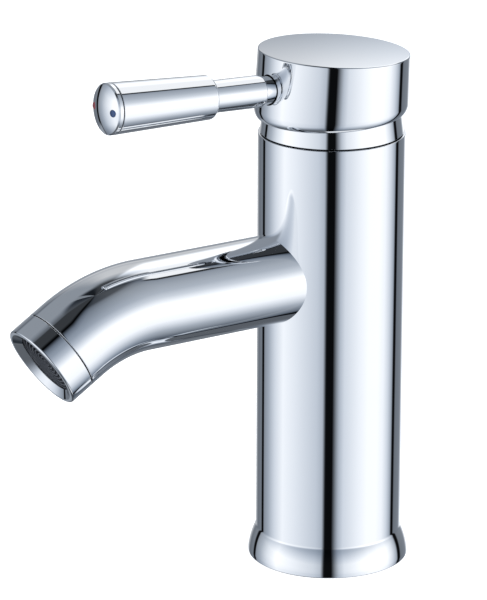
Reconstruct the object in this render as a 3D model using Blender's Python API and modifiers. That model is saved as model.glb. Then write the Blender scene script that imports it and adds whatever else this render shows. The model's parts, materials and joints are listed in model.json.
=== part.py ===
"""Single-lever bathroom mixer faucet: a column body, a bent round spout and a stick-handle cap.

Units are metres and +Z is up. The origin is the centre of the underside, on the body's axis.
The spout and the lever point along -Y, and the water is off. Hot is on -X, cold on +X.
"""

import math

import bmesh
import bpy
from mathutils import Matrix, Vector

# Clearances between neighbouring pieces
GAP = 0.0003
OVERCUT = 0.002

# Facets round a turned piece, and the segments of its rounded edges
FINE = 36
MEDIUM = 24
COARSE = 12
LEVER_SIDES = 20
JET_SIDES = 6
HEXAGON = 6
FOOT_STEPS = 6
RIM_STEPS = 4
EDGE_STEPS = 3
DOME_STEPS = 5

# Points nearer than these count as one, and heights nearer than LEVEL as equal
TURN_WELD = 0.000005
TUBE_WELD = 0.00001
LEVEL = 0.000001
SHARP_ANGLE = math.radians(30.0)

# Body column
BODY_RADIUS = 0.0230
BODY_WALL = 0.0020
BODY_HEIGHT = 0.1391
FOOT_RADIUS = BODY_RADIUS + 0.0024
FOOT_HEIGHT = 0.0091
FOOT_ARC_RADIUS = 0.0227
FOOT_LAND = 0.0012
GASKET_GROOVE_WIDTH = 0.0026
GASKET_GROOVE_DEPTH = 0.0025

# Inlet plate: two threaded hose sockets and a stud hole
INLET_PLATE_HEIGHT = 0.0140
HOSE_SOCKET_RADIUS = 0.0045
HOSE_SOCKET_DEPTH = 0.0100
STUD_HOLE_RADIUS = 0.0034
STUD_HOLE_DEPTH = 0.0115
STUD_HOLE_Y = 0.0100

# Risers and water ports
PORT_X = 0.0085
PORT_Y = -0.0040
PORT_RADIUS = 0.0033
OUTLET_Y = 0.0085
OUTLET_RADIUS = 0.0042
RISER_RADIUS = 0.0050
RISER_WALL = 0.0015
RISER_SEAT_DEPTH = 0.0040

# Valve body: the cup that holds the cartridge
VALVE_FLOOR_Z = BODY_HEIGHT - 0.0311
VALVE_FLOOR_THICKNESS = 0.0070
NUT_SEAT_WIDTH = 0.0014
NUT_WELL_DEPTH = 0.0052

# Cartridge
CARTRIDGE_RADIUS = 0.0175
CARTRIDGE_WALL = 0.0015
CARTRIDGE_SHOULDER = 0.0015
BASE_THICKNESS = 0.0044
BASE_STEP = 0.0010
SEAL_HEIGHT = 0.0020
SEAL_INNER_MARGIN = 0.0006
SEAL_WIDTH = 0.0014
CARTRIDGE_BORE = CARTRIDGE_RADIUS - CARTRIDGE_WALL
FIXED_DISC_RADIUS = CARTRIDGE_BORE - 0.0015
FIXED_DISC_THICKNESS = 0.0035
MOVING_DISC_RADIUS = CARTRIDGE_BORE - 0.0045
MOVING_DISC_THICKNESS = 0.0035
MIXING_POCKET_RADIUS = 0.0070
MIXING_POCKET_DEPTH = 0.0018
CARRIER_RADIUS = CARTRIDGE_BORE - 0.0040
CARRIER_THICKNESS = 0.0046
NECK_RADIUS = 0.0123
NECK_WALL = 0.0015
NECK_HEIGHT = 0.0071
TURRET_FLANGE_RADIUS = CARTRIDGE_BORE - 0.0005
TURRET_FLANGE_THICKNESS = 0.0032
TURRET_RISE = 0.0010
NUT_RING_HEIGHT = 0.0046
NUT_HEX_RADIUS = 0.0152
NUT_HEX_HEIGHT = 0.0030

# Stem, and the pin that it tilts on
PIVOT_Z = BODY_HEIGHT - 0.0031
PIN_RADIUS = 0.0015
STEM_SIDE = 0.0080
STEM_TOP = 0.0205
STEM_SHOULDER = 0.0045
STEM_ARM_WIDTH = 0.0060
STEM_ARM_THICKNESS = 0.0036
STEM_BALL_RADIUS = 0.0022
STEM_LEAN = math.radians(10.0)

# Collar under the handle
COLLAR_RADIUS = BODY_RADIUS - 0.00065
COLLAR_TAPER = math.radians(7.0)
COLLAR_CONE_HEIGHT = 0.0062
COLLAR_ROUNDING = 0.0028
COLLAR_WALL = 0.0020
COLLAR_TOP_WIDTH = 0.0048
COLLAR_SPIGOT_DEPTH = 0.0022
COLLAR_SPIGOT_WALL = 0.0018
COLLAR_SEAL_HEIGHT = 0.0006
COLLAR_SEAL_WIDTH = 0.0016

# Handle cap. Heights here are above the pivot, along the cap's own axis
CAP_TILT = math.radians(3.0)
CAP_SETBACK = 0.0009
CAP_TOP = 0.0291
CAP_RIM = 0.0094
CAP_RIM_SLANT = math.radians(5.6)
CAP_TOP_RADIUS = BODY_RADIUS + 0.0006
CAP_SIDE_RADIUS = BODY_RADIUS + 0.0010
CAP_RIM_RADIUS = BODY_RADIUS - 0.0004
CAP_BORE_RADIUS = BODY_RADIUS - 0.00075
CAP_RIM_ROUNDING = 0.0030
CAP_EDGE_ROUNDING = 0.0005
CAP_ROOF = 0.0025
BOSS_RADIUS = 0.0080
BOSS_CLEARANCE = 0.0009
BOSS_WEB_WIDTH = 0.0140

# Lever. Distances are from the cap's axis
LEVER_HEIGHT = 0.0187
LEVER_DROOP = math.radians(0.6)
ROD_RADIUS = 0.0050
ROD_START = CAP_SIDE_RADIUS + 0.0030
ROD_END = ROD_START + 0.0183
ROD_EDGE = 0.0007
ROD_NECK_RADIUS = 0.0044
ROD_NECK_HOLE_RADIUS = 0.0053
ROD_NECK_INNER_END = CAP_BORE_RADIUS - 0.00275
ROD_THREAD_RADIUS = 0.0030
ROD_SPIGOT_RADIUS = 0.0032
ROD_SPIGOT_LENGTH = 0.0110
GRIP_START_RADIUS = 0.0068
GRIP_END_RADIUS = 0.0079
GRIP_END = ROD_END + 0.0344
GRIP_SHOULDER = 0.0010
END_CAP_BAND = 0.0016
END_CAP_DOME = 0.0016
END_CAP_EDGE = 0.0004
END_CAP_SPIGOT_RADIUS = 0.0055
END_CAP_SPIGOT_LENGTH = 0.0070
INDEX_RADIUS = 0.0011
INDEX_X = 0.0053
INDEX_DEPTH = 0.0008
INDEX_PROUD = 0.0002

# Spout and aerator
SPOUT_Z = BODY_HEIGHT - 0.0443
SPOUT_RADIUS = 0.0140
SPOUT_WALL = 0.0020
SPOUT_STRAIGHT = 0.0695
SPOUT_BEND_RADIUS = 0.0470
SPOUT_BEND = math.radians(31.5)
SPOUT_END_STRAIGHT = 0.0047
SPOUT_SIDES = 24
SPOUT_BEND_STEPS = 6
AERATOR_RING_LENGTH = 0.0081
AERATOR_EDGE = 0.0006
AERATOR_SPIGOT_LENGTH = 0.0050
AERATOR_WALL = 0.0011
AERATOR_LIP = 0.0004
AERATOR_LIP_LENGTH = 0.0010
GASKET_THICKNESS = 0.0014
GASKET_WIDTH = 0.0026
JET_PLATE_THICKNESS = 0.0014
JET_CUP_WALL = 0.0009
JET_COUNT = 8
JET_RADIUS = 0.0007
JET_CIRCLE = 0.0062
SCREEN_THICKNESS = 0.0004
GRILLE_LENGTH = 0.0040
GRILLE_WALL = 0.0006
GRILLE_RINGS = 3
GRILLE_RIBS = 4
GRILLE_TURN = math.radians(17.0)

# Colours: base colour, metallic, roughness
CHROME = ((0.80, 0.81, 0.83), 1.0, 0.06)
BRASS = ((0.72, 0.53, 0.26), 1.0, 0.30)
COPPER = ((0.80, 0.45, 0.30), 1.0, 0.35)
STEEL = ((0.60, 0.60, 0.61), 1.0, 0.30)
CERAMIC = ((0.88, 0.87, 0.84), 0.0, 0.20)
WHITE_PLASTIC = ((0.85, 0.85, 0.83), 0.0, 0.40)
GREY_PLASTIC = ((0.20, 0.21, 0.22), 0.0, 0.45)
BLACK_RUBBER = ((0.03, 0.03, 0.03), 0.0, 0.65)
RED_INLAY = ((0.75, 0.06, 0.05), 0.0, 0.25)
BLUE_INLAY = ((0.04, 0.22, 0.70), 0.0, 0.25)


def clear_scene():
    for old in list(bpy.data.objects):
        bpy.data.objects.remove(old, do_unlink=True)


def new_collection(name):
    collection = bpy.data.collections.new(name)
    bpy.context.scene.collection.children.link(collection)
    return collection


def new_material(name, look):
    colour, metallic, roughness = look
    material = bpy.data.materials.new(name)
    material.use_nodes = True
    shader = material.node_tree.nodes["Principled BSDF"]
    shader.inputs["Base Color"].default_value = (*colour, 1.0)
    shader.inputs["Metallic"].default_value = metallic
    shader.inputs["Roughness"].default_value = roughness
    return material


def new_empty(name, matrix, parent=None):
    empty = bpy.data.objects.new(name, None)
    FAUCET.objects.link(empty)
    place(empty, matrix, parent)
    return empty


def place(obj, matrix, parent=None):
    """Puts obj at this matrix, which is relative to the parent where there is one."""
    obj.parent = parent
    obj.matrix_local = matrix


def add_piece(name, mesh, look, matrix=Matrix(), parent=None):
    piece = bpy.data.objects.new(name, mesh)
    FAUCET.objects.link(piece)
    piece.data.materials.append(new_material(name, look))
    piece.data.shade_smooth()
    piece.data.set_sharp_from_angle(angle=SHARP_ANGLE)
    place(piece, matrix, parent)
    return piece


def add_cutter(name, mesh, matrix=Matrix(), parent=None):
    cutter = bpy.data.objects.new(name, mesh)
    CUTTERS.objects.link(cutter)
    cutter.hide_render = True
    cutter.display_type = "WIRE"
    place(cutter, matrix, parent)
    return cutter


def combine(piece, other, operation="DIFFERENCE"):
    boolean = piece.modifiers.new(other.name, "BOOLEAN")
    boolean.operation = operation
    boolean.solver = "EXACT"
    boolean.object = other


def evaluated_mesh(obj):
    """The mesh of obj with its modifiers applied, with obj itself removed."""
    bpy.context.view_layer.update()
    graph = bpy.context.evaluated_depsgraph_get()
    mesh = bpy.data.meshes.new_from_object(obj.evaluated_get(graph))
    bpy.data.objects.remove(obj, do_unlink=True)
    return mesh


def turned_mesh(profile, sides=MEDIUM):
    """A solid of revolution about Z. The profile is (radius, height) points, down the outer side.

    A profile that starts and ends on the axis is left open there; any other is closed to a ring.
    """
    on_axis = profile[0][0] == 0.0
    mesh = bpy.data.meshes.new("profile")
    count = len(profile)
    edges = [(i, i + 1) for i in range(count - 1)]
    if not on_axis:
        edges.append((count - 1, 0))
    mesh.from_pydata([(r, 0.0, z) for r, z in profile], edges, [])
    obj = bpy.data.objects.new("profile", mesh)
    FAUCET.objects.link(obj)
    screw = obj.modifiers.new("turn", "SCREW")
    screw.axis = "Z"
    screw.angle = math.tau
    screw.steps = sides
    screw.render_steps = sides
    screw.use_merge_vertices = True
    screw.merge_threshold = TURN_WELD
    return join_flat_fans(evaluated_mesh(obj))


def join_flat_fans(mesh):
    """Makes each flat fan of triangles round the axis one face, which a Boolean cuts cleanly."""
    shape = bmesh.new()
    shape.from_mesh(mesh)
    poles = [v for v in shape.verts if v.co.xy.length < LEVEL]
    flat = [v for v in poles if is_level(v)]
    bmesh.ops.dissolve_verts(shape, verts=flat)
    shape.to_mesh(mesh)
    shape.free()
    return mesh


def is_level(vertex):
    """True where every edge from this vertex runs flat."""
    return all(abs(e.other_vert(vertex).co.z - vertex.co.z) < LEVEL for e in vertex.link_edges)


def rod_mesh(radius, bottom, top, sides=MEDIUM):
    return turned_mesh([(0.0, top), (radius, top), (radius, bottom), (0.0, bottom)], sides)


def ring_mesh(inner, outer, bottom, top, sides=MEDIUM):
    return turned_mesh([(outer, top), (outer, bottom), (inner, bottom), (inner, top)], sides)


def box_mesh(low, high):
    mesh = bpy.data.meshes.new("box")
    shape = bmesh.new()
    bmesh.ops.create_cube(shape, size=1.0)
    size = [b - a for a, b in zip(low, high)]
    middle = [(a + b) / 2.0 for a, b in zip(low, high)]
    bmesh.ops.scale(shape, vec=size, verts=shape.verts)
    bmesh.ops.translate(shape, vec=middle, verts=shape.verts)
    shape.to_mesh(mesh)
    shape.free()
    return mesh


def tube_mesh(points, radius, sides):
    """A solid round bar along a polyline, with welded flat ends."""
    curve = bpy.data.curves.new("path", "CURVE")
    curve.dimensions = "3D"
    curve.bevel_depth = radius
    curve.bevel_resolution = (sides - 4) // 2
    curve.use_fill_caps = True
    spline = curve.splines.new("POLY")
    spline.points.add(len(points) - 1)
    for slot, point in zip(spline.points, points):
        slot.co = (*point, 1.0)
    obj = bpy.data.objects.new("path", curve)
    FAUCET.objects.link(obj)
    mesh = evaluated_mesh(obj)
    shape = bmesh.new()
    shape.from_mesh(mesh)
    bmesh.ops.remove_doubles(shape, verts=shape.verts, dist=TUBE_WELD)
    bmesh.ops.recalc_face_normals(shape, faces=shape.faces)
    shape.to_mesh(mesh)
    shape.free()
    return mesh


def arc(centre, radius, start, end, steps):
    """Points on an arc in the (radius, height) plane, with both ends."""
    angles = [start + (end - start) * i / steps for i in range(steps + 1)]
    return [(centre[0] + radius * math.cos(a), centre[1] + radius * math.sin(a)) for a in angles]


def at(x, y, z):
    return Matrix.Translation((x, y, z))


def foot_profile():
    """The flared foot from its crease down to the land on the floor."""
    top = Vector((BODY_RADIUS, FOOT_HEIGHT))
    low = Vector((FOOT_RADIUS, FOOT_LAND))
    chord = low - top
    inward = Vector((chord.y, -chord.x)).normalized()
    reach = math.sqrt(FOOT_ARC_RADIUS**2 - (chord.length / 2.0) ** 2)
    centre = (top + low) / 2.0 + inward * reach
    first = math.atan2(top.y - centre.y, top.x - centre.x)
    last = math.atan2(low.y - centre.y, low.x - centre.x)
    return arc(centre, FOOT_ARC_RADIUS, first, last, FOOT_STEPS)


def build_body():
    bore = BODY_RADIUS - BODY_WALL
    profile = [(BODY_RADIUS, BODY_HEIGHT)]
    profile += foot_profile()
    profile += [(FOOT_RADIUS, 0.0), (bore, 0.0), (bore, BODY_HEIGHT)]
    body = add_piece("body", turned_mesh(profile, FINE), CHROME)
    groove_inner = gasket_groove_radius()
    groove_outer = groove_inner + GASKET_GROOVE_WIDTH
    groove = ring_mesh(groove_inner, groove_outer, -OVERCUT, GASKET_GROOVE_DEPTH, FINE)
    combine(body, add_cutter("gasket_groove", groove))
    side = rod_mesh(SPOUT_RADIUS + GAP, 0.0, BODY_RADIUS + OVERCUT, SPOUT_SIDES)
    turn = at(0.0, 0.0, SPOUT_Z) @ Matrix.Rotation(math.pi / 2.0, 4, "X")
    combine(body, add_cutter("spout_hole", side, turn))


def gasket_groove_radius():
    land = FOOT_RADIUS - (BODY_RADIUS - BODY_WALL)
    return BODY_RADIUS - BODY_WALL + (land - GASKET_GROOVE_WIDTH) / 2.0


def build_base_gasket():
    inner = gasket_groove_radius() + GAP
    outer = inner + GASKET_GROOVE_WIDTH - 2.0 * GAP
    ring = ring_mesh(inner, outer, 0.0, GASKET_GROOVE_DEPTH - GAP, FINE)
    add_piece("base_gasket", ring, BLACK_RUBBER)


def build_inlet_plate():
    radius = BODY_RADIUS - BODY_WALL - GAP
    plate = add_piece("inlet_plate", rod_mesh(radius, 0.0, INLET_PLATE_HEIGHT), BRASS)
    seat_z = INLET_PLATE_HEIGHT - RISER_SEAT_DEPTH
    for side, x in (("hot", -PORT_X), ("cold", PORT_X)):
        socket = rod_mesh(HOSE_SOCKET_RADIUS, -OVERCUT, HOSE_SOCKET_DEPTH + GAP, COARSE)
        combine(plate, add_cutter(side + "_socket", socket, at(x, PORT_Y, 0.0)))
        seat = rod_mesh(RISER_RADIUS + GAP, seat_z, INLET_PLATE_HEIGHT + OVERCUT, COARSE)
        combine(plate, add_cutter(side + "_riser_seat", seat, at(x, PORT_Y, 0.0)))
    stud = rod_mesh(STUD_HOLE_RADIUS, -OVERCUT, STUD_HOLE_DEPTH, COARSE)
    combine(plate, add_cutter("stud_hole", stud, at(0.0, STUD_HOLE_Y, 0.0)))


def build_risers():
    bottom = INLET_PLATE_HEIGHT - RISER_SEAT_DEPTH + GAP
    top = VALVE_FLOOR_Z - VALVE_FLOOR_THICKNESS + RISER_SEAT_DEPTH - GAP
    mesh = ring_mesh(RISER_RADIUS - RISER_WALL, RISER_RADIUS, bottom, top, COARSE)
    add_piece("hot_riser", mesh, COPPER, at(-PORT_X, PORT_Y, 0.0))
    add_piece("cold_riser", mesh.copy(), COPPER, at(PORT_X, PORT_Y, 0.0))


def build_valve_body(levels):
    pocket = CARTRIDGE_RADIUS + GAP
    well = pocket + NUT_SEAT_WIDTH
    outer = BODY_RADIUS - BODY_WALL - GAP
    underside = VALVE_FLOOR_Z - VALVE_FLOOR_THICKNESS
    seat_z = levels["shoulder"]
    profile = [
        (0.0, VALVE_FLOOR_Z),
        (pocket, VALVE_FLOOR_Z),
        (pocket, seat_z),
        (well, seat_z),
        (well, seat_z + NUT_WELL_DEPTH),
        (outer, seat_z + NUT_WELL_DEPTH),
        (outer, underside),
        (0.0, underside),
    ]
    valve = add_piece("valve_body", turned_mesh(profile), BRASS)
    for side, x in (("hot", -PORT_X), ("cold", PORT_X)):
        port = rod_mesh(PORT_RADIUS, underside + GAP, VALVE_FLOOR_Z + OVERCUT, COARSE)
        combine(valve, add_cutter(side + "_valve_port", port, at(x, PORT_Y, 0.0)))
        seat = rod_mesh(RISER_RADIUS + GAP, underside - OVERCUT, underside + RISER_SEAT_DEPTH, COARSE)
        combine(valve, add_cutter(side + "_riser_top_seat", seat, at(x, PORT_Y, 0.0)))
    outlet = rod_mesh(OUTLET_RADIUS, underside - OVERCUT, VALVE_FLOOR_Z + OVERCUT, COARSE)
    combine(valve, add_cutter("outlet_valve_port", outlet, at(0.0, OUTLET_Y, 0.0)))


def water_ports():
    return (
        ("hot", -PORT_X, PORT_Y, PORT_RADIUS),
        ("cold", PORT_X, PORT_Y, PORT_RADIUS),
        ("outlet", 0.0, OUTLET_Y, OUTLET_RADIUS),
    )


def cartridge_levels():
    """Heights of the cartridge's stack, from the valve body's floor upward."""
    levels = {}
    levels["base_bottom"] = VALVE_FLOOR_Z + 2.0 * GAP
    levels["base_top"] = levels["base_bottom"] + BASE_THICKNESS
    levels["fixed_bottom"] = levels["base_top"] + GAP
    levels["fixed_top"] = levels["fixed_bottom"] + FIXED_DISC_THICKNESS
    levels["moving_bottom"] = levels["fixed_top"] + GAP
    levels["moving_top"] = levels["moving_bottom"] + MOVING_DISC_THICKNESS
    levels["carrier_bottom"] = levels["moving_top"] + GAP
    levels["carrier_top"] = levels["carrier_bottom"] + CARRIER_THICKNESS
    levels["flange_bottom"] = levels["carrier_top"] + GAP
    levels["flange_top"] = levels["flange_bottom"] + TURRET_FLANGE_THICKNESS
    levels["case_ceiling"] = levels["flange_top"] + GAP
    levels["shoulder"] = levels["case_ceiling"] + CARTRIDGE_SHOULDER
    levels["neck_top"] = levels["shoulder"] + NECK_HEIGHT
    levels["ball"] = levels["carrier_bottom"] + STEM_BALL_RADIUS + GAP
    return levels


def build_cartridge_base(levels):
    step_z = levels["base_top"] - BASE_STEP
    spigot = CARTRIDGE_BORE - GAP
    profile = [
        (0.0, levels["base_top"]),
        (spigot, levels["base_top"]),
        (spigot, step_z),
        (CARTRIDGE_RADIUS, step_z),
        (CARTRIDGE_RADIUS, levels["base_bottom"]),
        (0.0, levels["base_bottom"]),
    ]
    base = add_piece("cartridge_base", turned_mesh(profile), WHITE_PLASTIC)
    groove_top = levels["base_bottom"] + SEAL_HEIGHT
    for name, x, y, radius in water_ports():
        port = rod_mesh(radius, levels["base_bottom"] + GAP, levels["base_top"] + OVERCUT, COARSE)
        combine(base, add_cutter(name + "_base_port", port, at(x, y, 0.0)))
        groove_radius = radius + SEAL_INNER_MARGIN + SEAL_WIDTH + GAP
        groove = rod_mesh(groove_radius, levels["base_bottom"] - OVERCUT, groove_top, COARSE)
        combine(base, add_cutter(name + "_seal_groove", groove, at(x, y, 0.0)))
        inner = radius + SEAL_INNER_MARGIN
        seal = ring_mesh(inner, inner + SEAL_WIDTH, VALVE_FLOOR_Z + GAP, groove_top - GAP, COARSE)
        add_piece(name + "_port_seal", seal, BLACK_RUBBER, at(x, y, 0.0))


def build_fixed_disc(levels):
    disc = rod_mesh(FIXED_DISC_RADIUS, levels["fixed_bottom"], levels["fixed_top"])
    fixed = add_piece("fixed_disc", disc, CERAMIC)
    for name, x, y, radius in water_ports():
        port = rod_mesh(radius, levels["fixed_bottom"] - OVERCUT, levels["fixed_top"] + OVERCUT, COARSE)
        combine(fixed, add_cutter(name + "_disc_port", port, at(x, y, 0.0)))


def disc_offset(levels):
    """How far the stem's lower end stands behind the axis with the water off."""
    return (PIVOT_Z - levels["ball"]) * math.sin(STEM_LEAN)


def build_moving_disc(levels):
    behind = disc_offset(levels)
    disc = rod_mesh(MOVING_DISC_RADIUS, levels["moving_bottom"], levels["moving_top"])
    moving = add_piece("moving_disc", disc, CERAMIC, at(0.0, behind, 0.0))
    pocket_top = levels["moving_bottom"] + MIXING_POCKET_DEPTH
    pocket = rod_mesh(MIXING_POCKET_RADIUS, levels["moving_bottom"] - OVERCUT, pocket_top, COARSE)
    combine(moving, add_cutter("mixing_pocket", pocket, at(0.0, behind, 0.0)))


def build_disc_carrier(levels):
    behind = disc_offset(levels)
    disc = rod_mesh(CARRIER_RADIUS, levels["carrier_bottom"], levels["carrier_top"])
    carrier = add_piece("disc_carrier", disc, GREY_PLASTIC, at(0.0, behind, 0.0))
    half_x = STEM_ARM_WIDTH / 2.0 + 2.0 * GAP
    half_y = STEM_BALL_RADIUS + GAP
    low = (-half_x, -half_y, levels["carrier_bottom"] - OVERCUT)
    high = (half_x, half_y, levels["carrier_top"] + OVERCUT)
    combine(carrier, add_cutter("carrier_slot", box_mesh(low, high), at(0.0, behind, 0.0)))


def build_turret(levels):
    radius = NECK_RADIUS - NECK_WALL - GAP
    top = levels["neck_top"] + TURRET_RISE
    profile = [
        (0.0, top),
        (radius, top),
        (radius, levels["flange_top"]),
        (TURRET_FLANGE_RADIUS, levels["flange_top"]),
        (TURRET_FLANGE_RADIUS, levels["flange_bottom"]),
        (0.0, levels["flange_bottom"]),
    ]
    turret = add_piece("turret", turned_mesh(profile), WHITE_PLASTIC)
    half_x = STEM_SIDE / 2.0 + GAP
    swing = max(STEM_SHOULDER, top - PIVOT_Z) * math.tan(STEM_LEAN)
    half_y = STEM_SIDE / 2.0 / math.cos(STEM_LEAN) + swing + GAP
    low = (-half_x, -half_y, levels["flange_bottom"] - OVERCUT)
    high = (half_x, half_y, top + OVERCUT)
    combine(turret, add_cutter("turret_slot", box_mesh(low, high)))
    across = Matrix.Rotation(math.pi / 2.0, 4, "Y")
    hole = rod_mesh(PIN_RADIUS + GAP, -NECK_RADIUS, NECK_RADIUS, COARSE)
    combine(turret, add_cutter("turret_pin_hole", hole, at(0.0, 0.0, PIVOT_Z) @ across))
    pin = rod_mesh(PIN_RADIUS, -radius + 2.0 * GAP, radius - 2.0 * GAP, COARSE)
    add_piece("stem_pin", pin, STEEL, at(0.0, 0.0, PIVOT_Z) @ across)


def build_cartridge_case(levels):
    bore = CARTRIDGE_BORE
    bottom = levels["base_top"] - BASE_STEP + GAP
    neck_bore = NECK_RADIUS - NECK_WALL
    profile = [
        (NECK_RADIUS, levels["neck_top"]),
        (NECK_RADIUS, levels["shoulder"]),
        (CARTRIDGE_RADIUS, levels["shoulder"]),
        (CARTRIDGE_RADIUS, bottom),
        (bore, bottom),
        (bore, levels["case_ceiling"]),
        (neck_bore, levels["case_ceiling"]),
        (neck_bore, levels["neck_top"]),
    ]
    add_piece("cartridge_case", turned_mesh(profile), GREY_PLASTIC)


def build_cartridge_nut(levels):
    bottom = levels["shoulder"] + GAP
    ring_top = bottom + NUT_RING_HEIGHT
    thread_radius = CARTRIDGE_RADIUS + NUT_SEAT_WIDTH
    ring = ring_mesh(NECK_RADIUS + GAP, thread_radius, bottom, ring_top)
    nut = add_piece("cartridge_nut", ring, BRASS)
    head_top = ring_top + NUT_HEX_HEIGHT
    head_mesh = ring_mesh(NECK_RADIUS + GAP, NUT_HEX_RADIUS, ring_top - GAP, head_top)
    flats = rod_mesh(NUT_HEX_RADIUS, bottom, head_top + OVERCUT, HEXAGON)
    head = add_cutter("nut_head", head_mesh)
    combine(head, add_cutter("nut_flats", flats), "INTERSECT")
    combine(nut, head, "UNION")


def build_collar_seal():
    bottom = BODY_HEIGHT + GAP
    outer = COLLAR_RADIUS - 2.0 * GAP
    ring = ring_mesh(outer - COLLAR_SEAL_WIDTH, outer, bottom, bottom + COLLAR_SEAL_HEIGHT, FINE)
    add_piece("collar_seal", ring, BLACK_RUBBER)


def collar_rounding():
    """The collar's rounded top edge, from its flat top down to its cone."""
    cone_top = BODY_HEIGHT + GAP + COLLAR_CONE_HEIGHT
    narrow = COLLAR_RADIUS - COLLAR_CONE_HEIGHT * math.tan(COLLAR_TAPER)
    centre = (
        narrow - COLLAR_ROUNDING * math.cos(COLLAR_TAPER),
        cone_top - COLLAR_ROUNDING * math.sin(COLLAR_TAPER),
    )
    return arc(centre, COLLAR_ROUNDING, math.pi / 2.0, COLLAR_TAPER, RIM_STEPS)


def boss_bottom():
    """Height of the cap's boss above the pivot: it passes over the collar as the handle tilts."""
    return collar_rounding()[0][1] - PIVOT_Z + BOSS_CLEARANCE


def build_collar():
    """The coned ring under the handle: a spigot in the body, a cone and a rounded top."""
    bottom = BODY_HEIGHT + GAP
    rounding = collar_rounding()
    top = rounding[0][1]
    opening = rounding[0][0] - COLLAR_TOP_WIDTH
    spigot = BODY_RADIUS - BODY_WALL - GAP
    bore = spigot - COLLAR_SPIGOT_WALL
    seal_top = bottom + COLLAR_SEAL_HEIGHT + GAP
    seal_inner = COLLAR_RADIUS - 3.0 * GAP - COLLAR_SEAL_WIDTH
    profile = [(opening, top)]
    profile += rounding
    profile += [
        (COLLAR_RADIUS, bottom),
        (COLLAR_RADIUS - GAP, bottom),
        (COLLAR_RADIUS - GAP, seal_top),
        (seal_inner, seal_top),
        (seal_inner, bottom),
        (spigot, bottom),
        (spigot, BODY_HEIGHT - COLLAR_SPIGOT_DEPTH),
        (bore, BODY_HEIGHT - COLLAR_SPIGOT_DEPTH),
        (bore, top - COLLAR_WALL),
        (opening, top - COLLAR_WALL),
    ]
    add_piece("collar", turned_mesh(profile, FINE), CHROME)


def build_stem(levels, pivot):
    """A square spindle on the pin, with an arm and a round end that pushes the disc carrier."""
    lean = Matrix.Rotation(STEM_LEAN, 4, "X")
    half = STEM_SIDE / 2.0
    bar = box_mesh((-half, -half, -STEM_SHOULDER), (half, half, STEM_TOP))
    stem = add_piece("stem", bar, BRASS, lean, pivot)
    reach = PIVOT_Z - levels["ball"]
    half_x = STEM_ARM_WIDTH / 2.0
    half_y = STEM_ARM_THICKNESS / 2.0
    arm = box_mesh((-half_x, -half_y, -reach), (half_x, half_y, -STEM_SHOULDER + OVERCUT))
    combine(stem, add_cutter("stem_arm", arm, lean, pivot), "UNION")
    across = Matrix.Rotation(math.pi / 2.0, 4, "Y")
    ball = rod_mesh(STEM_BALL_RADIUS, -half_x - GAP, half_x + GAP, COARSE)
    ball_place = lean @ at(0.0, 0.0, -reach) @ across
    combine(stem, add_cutter("stem_ball", ball, ball_place, pivot), "UNION")
    hole = rod_mesh(PIN_RADIUS + GAP, -STEM_SIDE, STEM_SIDE, COARSE)
    combine(stem, add_cutter("stem_pin_hole", hole, lean @ across, pivot))


def cap_profile():
    """Outer side from the roof down to the rim, then the bore back up."""
    centre = (CAP_TOP_RADIUS - CAP_EDGE_ROUNDING, CAP_TOP - CAP_EDGE_ROUNDING)
    edge = arc(centre, CAP_EDGE_ROUNDING, math.pi / 2.0, 0.0, EDGE_STEPS)
    width = CAP_SIDE_RADIUS - CAP_RIM_RADIUS
    rounding = []
    for i in range(RIM_STEPS + 1):
        a = math.pi / 2.0 * i / RIM_STEPS
        height = CAP_RIM + CAP_RIM_ROUNDING * (1.0 - math.sin(a))
        rounding.append((CAP_RIM_RADIUS + width * math.cos(a), height))
    roof = CAP_TOP - CAP_ROOF
    inside = [(CAP_BORE_RADIUS, CAP_RIM), (CAP_BORE_RADIUS, roof), (0.0, roof)]
    return [(0.0, CAP_TOP)] + edge + rounding + inside


def slant_rim(mesh):
    """Shears the cap so that its rim slopes down towards the lever while its roof stays flat."""
    for vertex in mesh.vertices:
        depth = (CAP_TOP - vertex.co.z) / (CAP_TOP - CAP_RIM)
        if vertex.co.z < CAP_TOP - CAP_ROOF - GAP:
            vertex.co.z += depth * vertex.co.y * math.tan(CAP_RIM_SLANT)


def build_handle_cap(pivot):
    mesh = turned_mesh(cap_profile(), FINE)
    slant_rim(mesh)
    centre = at(0.0, -CAP_SETBACK, 0.0)
    cap = add_piece("handle_cap", mesh, CHROME, centre, pivot)
    roof = CAP_TOP - CAP_ROOF / 2.0
    lean = STEM_LEAN + CAP_TILT
    boss_y = -(LEVER_HEIGHT - GAP) * math.tan(lean) + CAP_SETBACK
    boss = rod_mesh(BOSS_RADIUS, boss_bottom(), roof, COARSE)
    combine(cap, add_cutter("cap_boss", boss, centre @ at(0.0, boss_y, 0.0), pivot), "UNION")
    wall = (CAP_BORE_RADIUS + CAP_SIDE_RADIUS) / 2.0
    half = BOSS_WEB_WIDTH / 2.0
    reach = -math.sqrt(wall**2 - half**2)
    web = box_mesh((-half, reach, boss_bottom() + GAP), (half, boss_y, roof - GAP))
    combine(cap, add_cutter("cap_web", web, centre, pivot), "UNION")
    side = STEM_SIDE / 2.0 + GAP
    socket = box_mesh((-side, -side, 0.0), (side, side, STEM_TOP + GAP))
    square = Matrix.Rotation(lean, 4, "X")
    combine(cap, add_cutter("stem_socket", socket, square, pivot))
    forward = lever_place()
    neck_end = ROD_NECK_INNER_END - GAP
    neck = rod_mesh(ROD_NECK_HOLE_RADIUS, neck_end, CAP_SIDE_RADIUS + OVERCUT, COARSE)
    combine(cap, add_cutter("neck_hole", neck, forward, pivot))
    thread_end = rod_tip() - OVERCUT
    thread = rod_mesh(ROD_THREAD_RADIUS + GAP, thread_end, ROD_NECK_INNER_END, COARSE)
    combine(cap, add_cutter("thread_hole", thread, forward, pivot))


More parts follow.
